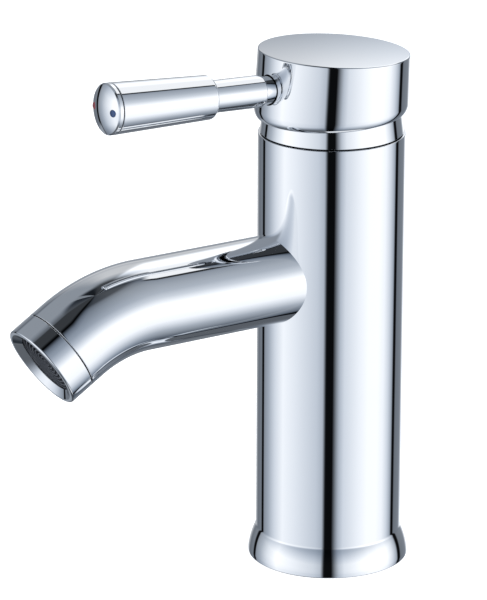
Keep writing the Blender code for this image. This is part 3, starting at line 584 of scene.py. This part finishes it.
def build_collar(looks):
    """The coned ring under the handle, from its rounded top down to its spigot in the body."""
    bottom = BODY_HEIGHT + GAP
    cone_top = bottom + COLLAR_CONE_HEIGHT
    narrow = COLLAR_RADIUS - COLLAR_CONE_HEIGHT * math.tan(COLLAR_TAPER)
    centre_r = narrow - COLLAR_ROUNDING * math.cos(COLLAR_TAPER)
    centre_z = cone_top - COLLAR_ROUNDING * math.sin(COLLAR_TAPER)
    top = centre_z + COLLAR_ROUNDING
    spigot = BODY_RADIUS - BODY_WALL - GAP
    seal_inner = COLLAR_RADIUS - 3.0 * GAP - COLLAR_SEAL_WIDTH
    seal_top = bottom + COLLAR_SEAL_HEIGHT + GAP
    opening = centre_r - COLLAR_TOP_WIDTH
    # Rows just inside and just under the rounding keep the flat top and the cone shading straight
    inside = 0.0002
    under = 0.0001
    outline = [(opening, top), (centre_r - inside, top)]
    steps = 12
    for k in range(steps + 1):
        a = math.pi / 2.0 + (COLLAR_TAPER - math.pi / 2.0) * k / steps
        r = centre_r + COLLAR_ROUNDING * math.cos(a)
        outline.append((r, centre_z + COLLAR_ROUNDING * math.sin(a)))
    cone = [
        (narrow + under * math.tan(COLLAR_TAPER), cone_top - under, 0.0),
        (COLLAR_RADIUS, bottom, COLLAR_EDGE),
        (COLLAR_RADIUS - GAP, bottom, 0.0),
    ]
    outline += rounded(cone, closed=False)
    outline += [
        (COLLAR_RADIUS - GAP, seal_top),
        (seal_inner, seal_top),
        (seal_inner, bottom),
        (spigot, bottom),
        (spigot, bottom - COLLAR_SPIGOT_DEPTH),
        (spigot - COLLAR_SPIGOT_WALL, bottom - COLLAR_SPIGOT_DEPTH),
        (spigot - COLLAR_SPIGOT_WALL, top - COLLAR_WALL),
        (opening, top - COLLAR_WALL),
    ]
    collar = lathe("cone_collar", outline, FINE)
    belongs(collar, "faucet", "collar", looks["chrome_plate"])
    outer = COLLAR_RADIUS - 2.0 * GAP
    ring = rounded(
        [
            (outer - COLLAR_SEAL_WIDTH, bottom + COLLAR_SEAL_HEIGHT, COLLAR_SEAL_EDGE),
            (outer, bottom + COLLAR_SEAL_HEIGHT, COLLAR_SEAL_EDGE),
            (outer, bottom, COLLAR_SEAL_EDGE),
            (outer - COLLAR_SEAL_WIDTH, bottom, COLLAR_SEAL_EDGE),
        ]
    )
    seal = lathe("collar_ring_seal", ring, FINE)
    belongs(seal, "faucet", "collar_seal", looks["black_rubber"])


def cap_shear(point):
    """The cap's rim slopes down towards the lever while its roof stays flat."""
    if point.z > CAP_TOP - CAP_ROOF - GAP:
        return point.z
    depth = (CAP_TOP - point.z) / (CAP_TOP - CAP_RIM)
    return point.z + depth * point.y * math.tan(CAP_RIM_SLANT)


def cap_outline():
    """The cap's crowned roof, side and rounded rim, then its bore back up."""
    rows = 8
    crown = [CAP_TOP_RADIUS * k / rows for k in range(rows)]
    outline = [(r, CAP_TOP - CAP_CROWN * (r / CAP_TOP_RADIUS) ** 2) for r in crown]
    near_edge = (CAP_TOP_RADIUS * 0.95, CAP_TOP - CAP_CROWN * 0.9, 0.0)
    top_edge = (CAP_TOP_RADIUS, CAP_TOP - CAP_CROWN, CAP_EDGE)
    above_rim = (CAP_SIDE_RADIUS, CAP_RIM + CAP_RIM_ROUNDING + 0.001, 0.0)
    outline += rounded([near_edge, top_edge, above_rim], closed=False)[:-1]
    steps = 14
    for k in range(steps + 1):
        a = math.pi / 2.0 * k / steps
        radius = CAP_RIM_RADIUS + (CAP_SIDE_RADIUS - CAP_RIM_RADIUS) * math.cos(a)
        outline.append((radius, CAP_RIM + CAP_RIM_ROUNDING * (1.0 - math.sin(a))))
    roof = CAP_TOP - CAP_ROOF
    return outline + [(CAP_BORE_RADIUS, CAP_RIM), (CAP_BORE_RADIUS, roof), (0.0, roof)]


def build_cap(looks, pivot):
    """The handle cap: a shell with a boss and a web inside, a stem socket and the lever's holes."""
    centre = pivot @ at(0.0, -CAP_SETBACK, 0.0)
    roof = CAP_TOP - CAP_ROOF
    cap = lathe("lever_cap", cap_outline(), FINE, centre, cap_shear)
    lean = STEM_LEAN + CAP_TILT
    boss_y = -(LEVER_HEIGHT - GAP) * math.tan(lean) + CAP_SETBACK
    # The boss and the web run a little way into the roof, so that they join it
    boss_place = centre @ at(0.0, boss_y, 0.0)
    combine(cap, rod("boss", BOSS_RADIUS, BOSS_BOTTOM, roof + BOSS_OVERLAP, SMALL, boss_place), "UNION")
    low = (-WEB_HALF_WIDTH, -WEB_REACH, BOSS_BOTTOM + GAP)
    high = (WEB_HALF_WIDTH, boss_y, roof + WEB_OVERLAP)
    combine(cap, box("web", low, high, centre), "UNION")
    side = STEM_SIDE / 2.0 + GAP
    square = pivot @ Matrix.Rotation(lean, 4, "X")
    combine(cap, box("socket", (-side, -side, 0.0), (side, side, STEM_TOP + GAP), square))
    forward = pivot @ lever_place()
    outside = CAP_SIDE_RADIUS + OVERCUT
    combine(cap, rod("neck_hole", NECK_HOLE_RADIUS, NECK_HOLE_END, outside, SMALL, forward))
    thread_end = NECK_HOLE_END + 0.0001
    combine(cap, rod("thread_hole", THREAD_RADIUS + GAP, THREAD_HOLE_START, thread_end, SMALL, forward))
    belongs(cap, "handle", "handle_cap", looks["chrome_plate"])


def lever_place():
    """The lever's frame in the cap's: local +Z points out along the lever."""
    return at(0.0, -CAP_SETBACK, LEVER_HEIGHT) @ Matrix.Rotation(math.pi / 2.0 + LEVER_DROOP, 4, "X")


def build_lever(looks, lever):
    chrome = looks["chrome_plate"]
    bar = lathe("lever_bar", bar_outline(), MEDIUM, lever)
    belongs(bar, "handle", "lever_rod", chrome)
    grip = lathe("lever_sleeve", grip_outline(), MEDIUM, lever)
    belongs(grip, "handle", "lever_grip", chrome)
    end = lathe("lever_button", button_outline(), MEDIUM, lever)
    face = dome_height(INDEX_X)
    dots = (("hot", -INDEX_X, "red_inlay"), ("cold", INDEX_X, "blue_inlay"))
    radius = INDEX_RADIUS + INDEX_CLEARANCE
    for _, x, _ in dots:
        place = lever @ at(x, 0.0, 0.0)
        combine(end, rod("hole", radius, face - INDEX_DEPTH, face + OVERCUT, SMALL, place))
    belongs(end, "handle", "lever_end_cap", chrome)
    for name, x, look in dots:
        dot = lathe(name + "_dot", dot_outline(face), SMALL, lever @ at(x, 0.0, 0.0))
        belongs(dot, "handle", name + "_index", looks[look])


def bar_outline():
    """The rod from its spigot in the grip down to the threaded end in the cap."""
    spigot_end = ROD_END + ROD_SPIGOT_LENGTH
    corners = [
        (0.0, spigot_end, 0.0),
        (ROD_SPIGOT_RADIUS, spigot_end, ROD_SPIGOT_EDGE),
        (ROD_SPIGOT_RADIUS, ROD_END - GAP, 0.0),
        (ROD_RADIUS, ROD_END - GAP, ROD_SEAM_EDGE),
        (ROD_RADIUS, ROD_START, ROD_EDGE),
        (NECK_RADIUS, ROD_START, 0.0),
        (NECK_RADIUS, NECK_END, 0.0),
        (THREAD_RADIUS, NECK_END, 0.0),
        (THREAD_RADIUS, ROD_TIP, THREAD_EDGE),
        (0.0, ROD_TIP, 0.0),
    ]
    return rounded(corners, closed=False)


def grip_outline():
    bore = ROD_SPIGOT_RADIUS + GAP
    spigot = END_CAP_SPIGOT_RADIUS + GAP
    shelf = GRIP_END - END_CAP_SPIGOT_LENGTH - GAP
    return rounded(
        [
            (bore, ROD_END, 0.0),
            (bore, shelf, 0.0),
            (spigot, shelf, 0.0),
            (spigot, GRIP_END, 0.0),
            (GRIP_END_RADIUS, GRIP_END, GRIP_EDGE),
            (GRIP_START_RADIUS, ROD_END, GRIP_SHOULDER),
        ]
    )


def dome_height(distance):
    """Height of the end cap's domed face along the lever, this far from its centre."""
    base = GRIP_END_RADIUS - END_CAP_EDGE
    dome = (base**2 + END_CAP_DOME**2) / (2.0 * END_CAP_DOME)
    band_top = GRIP_END + GAP + END_CAP_BAND
    return band_top + math.sqrt(dome**2 - distance**2) - (dome - END_CAP_DOME)


def button_outline():
    """The end cap: a dome with a crisp rim, a narrow band and a spigot in the grip."""
    bottom = GRIP_END + GAP
    base = GRIP_END_RADIUS - END_CAP_EDGE
    near_rim = base * 0.985
    steps = 16
    outline = [(base * k / steps, dome_height(base * k / steps)) for k in range(steps)]
    rim = [
        (near_rim, dome_height(near_rim), 0.0),
        (base, dome_height(base), END_CAP_CORNER),
        (GRIP_END_RADIUS, bottom + END_CAP_BAND - END_CAP_EDGE, END_CAP_CORNER),
        (GRIP_END_RADIUS, bottom, END_CAP_SEAM_EDGE),
        (END_CAP_SPIGOT_RADIUS, bottom, 0.0),
        (END_CAP_SPIGOT_RADIUS, GRIP_END - END_CAP_SPIGOT_LENGTH, 0.0),
        (0.0, GRIP_END - END_CAP_SPIGOT_LENGTH, 0.0),
    ]
    return outline + rounded(rim, closed=False, steps=4)


def dot_outline(face):
    bottom = face - INDEX_DEPTH + INDEX_CLEARANCE
    corners = [
        (0.0, face + INDEX_PROUD, 0.0),
        (INDEX_RADIUS, face + INDEX_PROUD - INDEX_CROWN, INDEX_EDGE),
        (INDEX_RADIUS, bottom, 0.0),
        (0.0, bottom, 0.0),
    ]
    return rounded(corners, closed=False)


def spout_station(distance):
    """Centre of the spout and its tilt below level, at a distance along it from y = 0."""
    if distance <= SPOUT_STRAIGHT:
        return Vector((0.0, -distance, SPOUT_Z)), 0.0
    a = min((distance - SPOUT_STRAIGHT) / SPOUT_BEND_RADIUS, SPOUT_BEND)
    y = -SPOUT_STRAIGHT - SPOUT_BEND_RADIUS * math.sin(a)
    z = SPOUT_Z - SPOUT_BEND_RADIUS * (1.0 - math.cos(a))
    centre = Vector((0.0, y, z))
    past = distance - SPOUT_STRAIGHT - SPOUT_BEND_RADIUS * SPOUT_BEND
    if past > 0.0:
        centre += Vector((0.0, -math.cos(a), -math.sin(a))) * past
    return centre, a


def build_spout(looks):
    """A tube along the spout's centreline, its root shaped to the body's bore.

    The path runs along the outside to the tip and back along the inside, as (radius, distance along
    the centreline); a distance of None is the root.
    """
    bend_length = SPOUT_BEND_RADIUS * SPOUT_BEND
    length = SPOUT_STRAIGHT + bend_length + SPOUT_END_STRAIGHT
    bore = BODY_RADIUS - BODY_WALL
    edge = SPOUT_EDGE
    inner = SPOUT_RADIUS - SPOUT_WALL
    shape = bmesh.new()
    straight_steps = 6
    bend_steps = 40
    edge_steps = 4
    run = SPOUT_STRAIGHT - SPOUT_CLEAR_OF_BODY
    stations = [SPOUT_CLEAR_OF_BODY + run * k / straight_steps for k in range(straight_steps + 1)]
    stations += [SPOUT_STRAIGHT + bend_length * k / bend_steps for k in range(1, bend_steps + 1)]
    path = [(SPOUT_RADIUS, None)] + [(SPOUT_RADIUS, d) for d in stations]
    path += [(SPOUT_RADIUS, length - 3.0 * edge), (SPOUT_RADIUS, length - edge)]
    for k in range(1, edge_steps + 1):
        a = math.pi / 2.0 * k / edge_steps
        path.append((SPOUT_RADIUS - edge + edge * math.cos(a), length - edge + edge * math.sin(a)))
    path += [(inner, length), (inner, length - 0.001)]
    path += [(inner, d) for d in reversed(stations)] + [(inner, None)]
    rows = []
    for radius, distance in path:
        row = []
        for k in range(MEDIUM):
            t = math.tau * k / MEDIUM
            x, up = radius * math.cos(t), radius * math.sin(t)
            if distance is None:
                point = Vector((x, -math.sqrt(bore**2 - x**2), SPOUT_Z + up))
            else:
                centre, a = spout_station(distance)
                point = centre + Vector((x, -up * math.sin(a), up * math.cos(a)))
            row.append(shape.verts.new(point))
        rows.append(row)
    for a, b in zip(rows, rows[1:] + rows[:1]):
        for k in range(MEDIUM):
            n = (k + 1) % MEDIUM
            shape.faces.new((a[k], a[n], b[n], b[k]))
    spout = object_from("spout_tube", shape)
    belongs(spout, "faucet", "spout", looks["chrome_plate"])
    centre, tilt = spout_station(length)
    return at(*centre) @ Matrix.Rotation(math.pi / 2.0 + tilt, 4, "X")


def build_aerator(looks, tip):
    """The ring at the spout's end, whose lip opens in a cone, and the grille behind the lip."""
    spigot = SPOUT_RADIUS - SPOUT_WALL - GAP
    lip_start = RING_LENGTH - RING_LIP_LENGTH
    outline = rounded(
        [
            (RING_LIP, lip_start + RING_LIP_LAND, 0.0),
            (RING_MOUTH, RING_LENGTH, RING_MOUTH_EDGE),
            (SPOUT_RADIUS, RING_LENGTH, RING_OUTER_EDGE),
            (SPOUT_RADIUS, GAP, RING_SEAM_EDGE),
            (spigot, GAP, 0.0),
            (spigot, -RING_SPIGOT, 0.0),
            (RING_BORE, -RING_SPIGOT, 0.0),
            (RING_BORE, lip_start, 0.0),
            (RING_LIP, lip_start, 0.0),
        ]
    )
    ring = lathe("aerator_ring", outline, FINE, tip)
    belongs(ring, "faucet", "aerator_housing", looks["chrome_plate"])
    build_grille(looks, tip, lip_start - GAP)


def build_grille(looks, tip, top):
    """Fine concentric rings on ribs: the flow straightener seen in the spout's mouth."""
    radius = RING_BORE - GAP
    bottom = top - GRILLE_DEPTH
    half = GRILLE_WALL / 2.0
    parts = []
    for k in range(1, GRILLE_RINGS + 1):
        outer = radius * k / GRILLE_RINGS
        inner = outer - GRILLE_WALL
        corners = [(outer, top), (outer, bottom), (inner, bottom), (inner, top)]
        outline = rounded([(*corner, GRILLE_EDGE) for corner in corners], steps=2)
        parts.append(lathe(f"ring_{k}", outline, MEDIUM, tip))
    for k in range(GRILLE_RIBS):
        turn = Matrix.Rotation(math.tau * k / GRILLE_RIBS + GRILLE_TURN, 4, "Z")
        low = (RIB_START, -half, bottom + RIB_LIFT)
        high = (radius - half, half, top - RIB_DROP)
        parts.append(box(f"rib_{k}", low, high, tip @ turn))
    grille = join(parts, "flow_straightener")
    belongs(grille, "faucet", "aerator_grille", looks["grey_plastic"])


def join(parts, name):
    """One object from several, whose volumes may run into each other."""
    shape = bmesh.new()
    for part in parts:
        shape.from_mesh(part.data)
        bpy.data.objects.remove(part, do_unlink=True)
    return object_from(name, shape)


def dress_cad_nodes(looks):
    """The inner pieces keep their CAD shape, and get the materials made here."""
    for node in frame["nodes"].values():
        for slot in node.material_slots:
            name = slot.material.name.split(".")[0]
            if name in looks:
                slot.material = looks[name]


# ---------------------------------------------------------------- the studio

CAMERA_PLACE = Vector((0.9631, -0.6574, 0.4679))
CAMERA_HEADING = Vector((-0.8387, 0.5446, 0.0))
CAMERA_PITCH = math.radians(18.23)
CAMERA_LENS = 234.3
CAMERA_ROLL = math.radians(0.17)
CAMERA_SHIFT = -0.0018

# The lights round the object, as (degrees from the camera's side, display grey): a slot behind the
# camera, a broad soft panel on each side, a narrow dark flag past each panel and grey beyond them.
PANELS = [
    (-180, 150),
    (-168, 150),
    (-158, 114),
    (-148, 108),
    (-137, 118),
    (-134.5, 114),
    (-133, 8),
    (-126.5, 8),
    (-125, 136),
    (-112, 165),
    (-96, 212),
    (-78, 244),
    (-56, 230),
    (-20, 199),
    (-10, 178),
    (-6.8, 90),
    (-5.4, 11),
    (6, 11),
    (9, 95),
    (16, 180),
    (24, 213),
    (48, 240),
    (64, 253),
    (82, 254),
    (95, 243),
    (107, 210),
    (116, 165),
    (118.5, 140),
    (120, 10),
    (127, 10),
    (129.5, 110),
    (160, 132),
]
# The two dark flags end at a height, above which the wall has this grey: bands are (from, to, soft
# edge) and fades are (start, end), all in degrees
FLAG_AZIMUTHS = ((-134.5, -125.0, 1.0), (118.5, 129.5, 1.0))
FLAG_END = (9, 13)
ABOVE_FLAGS_GREY = 128
# How the panels fall off upward and downward, as (elevation, share of the light)
PANEL_HEIGHT = [
    (-90, 0.20),
    (-62, 0.18),
    (-48, 0.42),
    (-36, 0.76),
    (-28, 0.96),
    (-20, 1.0),
    (-12, 1.06),
    (-4, 1.16),
    (6, 1.16),
    (14, 0.94),
    (24, 0.65),
    (36, 0.45),
    (48, 0.37),
    (60, 0.30),
    (68, 0.22),
    (74, 0.08),
    (90, 0.06),
]
# Patches on the walls, as (azimuth band, elevation band, display grey): the high window behind on
# the right, the frame bar beside it, the wall on the left and a low patch near that wall's far end
WINDOW_HEIGHT = (34, 62, 5)
PATCHES = [
    ((110, 200, 2), WINDOW_HEIGHT, 240),
    ((102.5, 108, 2), WINDOW_HEIGHT, 45),
    ((-168, -88, 14), (26, 64, 9), 142),
    ((-172, -132, 6), (-44, -28, 5), 150),
]
# The dark corner high on the left, and the darker ground low in front on the left
TOP_LEFT_AZIMUTH = (-58, -8, 12)
TOP_LEFT_FADE = (32, 42)
TOP_LEFT_GREY = 55
LOW_FRONT_AZIMUTH = (-128, -15, 12)
LOW_FRONT_FADE = (-26, -56)
LOW_FRONT_GREY = 95
# The wall behind the object, as (elevation, display grey), and its sweep from right to left
BACK_HEIGHT = [
    (-90, 60),
    (-50, 96),
    (-26, 118),
    (-22, 205),
    (-16, 240),
    (-6, 206),
    (2, 176),
    (8.8, 180),
    (10.8, 202),
    (13.5, 230),
    (17, 240),
    (22, 218),
    (32, 236),
    (50, 238),
    (60, 190),
    (68, 80),
    (90, 62),
]
BACK_SWEEP = [(-30, 1.0), (-4, 1.0), (-2.5, 0.90), (-0.5, 0.66), (0.5, 0.57), (3, 0.50), (30, 0.50)]
BACK_SCALE = 1.3
BACK_EDGE = 30
BACK_FADE = (150, 168)
# The floor as the metal sees it, in front of the object
FLOOR_GREY = 225
FLOOR_AZIMUTH = (-105, 105, 40)
FLOOR_FADE = (-60, -66)
WORLD_STRENGTH = 1.10


def share(value, low, high):
    return (value - low) / (high - low)


def grey_stops(table, low, high):
    """Colour ramp stops from a table of (angle, display grey)."""
    return [(share(angle, low, high), studio_light(grey)) for angle, grey in table]


def studio_patch(nodes, light, factor, grey):
    """The light with this grey laid over it where factor is 1."""
    return nodes.mix(factor, light, (*studio_light(grey), 1.0))


def scaled(nodes, light, scale):
    return nodes.mix(1.0, light, (scale, scale, scale, 1.0), "MULTIPLY")


def wall_light(nodes, azimuth, height):
    """The panels round the object with their fall-off, the flags' upper ends and the patches."""
    around = nodes.span(azimuth, -math.pi, math.pi)
    elevation = nodes.span(height, -math.pi / 2.0, math.pi / 2.0)
    ring = nodes.ramp(around, grey_stops(PANELS, -180, 180))
    scale = max(f for _, f in PANEL_HEIGHT)
    falloff = nodes.ramp(elevation, [(share(e, -90, 90), cooled(f / scale)) for e, f in PANEL_HEIGHT])
    walls = scaled(nodes, nodes.mix(1.0, ring, falloff, "MULTIPLY"), scale)
    above_flags = nodes.fade(height, *FLAG_END)
    for flag in FLAG_AZIMUTHS:
        where = nodes.math("MULTIPLY", nodes.band(azimuth, *flag), above_flags)
        walls = studio_patch(nodes, walls, where, ABOVE_FLAGS_GREY)
    high = nodes.fade(height, *TOP_LEFT_FADE)
    top_left = nodes.math("MULTIPLY", nodes.band(azimuth, *TOP_LEFT_AZIMUTH), high)
    walls = studio_patch(nodes, walls, top_left, TOP_LEFT_GREY)
    for across, upward, grey in PATCHES:
        where = nodes.math("MULTIPLY", nodes.band(azimuth, *across), nodes.band(height, *upward))
        walls = studio_patch(nodes, walls, where, grey)
    return walls


def back_light(nodes, parts, height):
    """The wall behind the object, darker towards the left."""
    elevation = nodes.span(height, -math.pi / 2.0, math.pi / 2.0)
    back = nodes.ramp(elevation, grey_stops(BACK_HEIGHT, -90, 90))
    turned_y = nodes.math("MULTIPLY", parts.outputs["Y"], -1.0)
    turned_x = nodes.math("MULTIPLY", parts.outputs["X"], -1.0)
    away = nodes.math("ARCTAN2", turned_y, turned_x)
    across = nodes.span(away, math.radians(-BACK_EDGE), math.radians(BACK_EDGE))
    stops = [(share(angle, -BACK_EDGE, BACK_EDGE), (f, f, f)) for angle, f in BACK_SWEEP]
    return scaled(nodes, nodes.mix(1.0, back, nodes.ramp(across, stops), "MULTIPLY"), BACK_SCALE)


def build_world(scene):
    """The studio as the metal mirrors it, placed by azimuth from the camera's side and by height.

    The camera itself sees plain white.
    """
    world = bpy.data.worlds.new("studio")
    scene.world = world
    world.use_nodes = True
    tree = world.node_tree
    tree.nodes.clear()
    nodes = Nodes(tree)
    ray = nodes.add("ShaderNodeTexCoord").outputs["Generated"]
    toward = math.atan2(CAMERA_PLACE.y, CAMERA_PLACE.x)
    turned = nodes.add("ShaderNodeVectorRotate", rotation_type="Z_AXIS")
    nodes.join(ray, turned.inputs["Vector"])
    turned.inputs["Angle"].default_value = -toward
    parts = nodes.add("ShaderNodeSeparateXYZ")
    nodes.join(turned.outputs["Vector"], parts.inputs["Vector"])
    azimuth = nodes.math("ARCTAN2", parts.outputs["Y"], parts.outputs["X"])
    height = nodes.math("ARCSINE", parts.outputs["Z"])
    at_back = nodes.fade(nodes.math("ABSOLUTE", azimuth), *BACK_FADE)
    light = nodes.mix(at_back, wall_light(nodes, azimuth, height), back_light(nodes, parts, height))
    below = nodes.math("MULTIPLY", nodes.fade(height, *FLOOR_FADE), nodes.band(azimuth, *FLOOR_AZIMUTH))
    light = studio_patch(nodes, light, below, FLOOR_GREY)
    low = nodes.fade(height, *LOW_FRONT_FADE)
    low_front = nodes.math("MULTIPLY", nodes.band(azimuth, *LOW_FRONT_AZIMUTH), low)
    light = studio_patch(nodes, light, low_front, LOW_FRONT_GREY)
    background = nodes.add("ShaderNodeBackground")
    nodes.join(light, background.inputs["Color"])
    background.inputs["Strength"].default_value = WORLD_STRENGTH
    plain = nodes.add("ShaderNodeBackground")
    plain.inputs["Color"].default_value = (1.0, 1.0, 1.0, 1.0)
    choose = nodes.add("ShaderNodeMixShader")
    nodes.join(nodes.add("ShaderNodeLightPath").outputs["Is Camera Ray"], choose.inputs[0])
    nodes.join(background.outputs[0], choose.inputs[1])
    nodes.join(plain.outputs[0], choose.inputs[2])
    nodes.join(choose.outputs[0], nodes.add("ShaderNodeOutputWorld").inputs["Surface"])


def build_floor(scene):
    shape = bmesh.new()
    bmesh.ops.create_grid(shape, x_segments=2, y_segments=2, size=6.0)
    mesh = bpy.data.meshes.new("floor")
    shape.to_mesh(mesh)
    shape.free()
    floor = bpy.data.objects.new("floor", mesh)
    scene.collection.objects.link(floor)
    material = bpy.data.materials.new("floor")
    material.use_nodes = True
    shader = material.node_tree.nodes["Principled BSDF"]
    shader.inputs["Base Color"].default_value = (0.9, 0.9, 0.9, 1.0)
    shader.inputs["Roughness"].default_value = 0.9
    shader.inputs["Emission Color"].default_value = (1.0, 1.0, 1.0, 1.0)
    shader.inputs["Emission Strength"].default_value = 0.75
    mesh.materials.append(material)
    floor.visible_glossy = False
    floor.visible_diffuse = False


def build_lights(scene):
    """One broad soft lamp overhead, seen only by what isn't mirror-bright."""
    lamp = bpy.data.lights.new("overhead", "AREA")
    lamp.shape = "DISK"
    lamp.size = 1.2
    lamp.energy = 12.0
    obj = bpy.data.objects.new("overhead", lamp)
    obj.location = (0.1, -0.2, 1.3)
    obj.visible_glossy = False
    scene.collection.objects.link(obj)


def build_camera(scene):
    data = bpy.data.cameras.new("camera")
    data.lens = CAMERA_LENS
    data.sensor_width = 36.0
    data.shift_x = CAMERA_SHIFT
    data.clip_start = 0.05
    data.clip_end = 30.0
    camera = bpy.data.objects.new("camera", data)
    camera.location = CAMERA_PLACE
    down = Vector((0.0, 0.0, math.sin(CAMERA_PITCH)))
    look = CAMERA_HEADING.normalized() * math.cos(CAMERA_PITCH) - down
    aim = look.to_track_quat("-Z", "Y").to_matrix() @ Matrix.Rotation(CAMERA_ROLL, 3, "Z")
    camera.rotation_euler = aim.to_euler()
    scene.collection.objects.link(camera)
    scene.camera = camera


def main():
    scene = bpy.context.scene
    scene.view_settings.view_transform = "Standard"
    build_camera(scene)
    build_world(scene)
    build_floor(scene)
    build_lights(scene)
    looks = make_materials()
    dress_cad_nodes(looks)
    build_body(looks)
    build_collar(looks)
    cap_pivot = at(*PIVOT) @ Matrix.Rotation(-CAP_TILT, 4, "X")
    build_cap(looks, cap_pivot)
    build_lever(looks, cap_pivot @ lever_place())
    tip = build_spout(looks)
    build_aerator(looks, tip)


main()
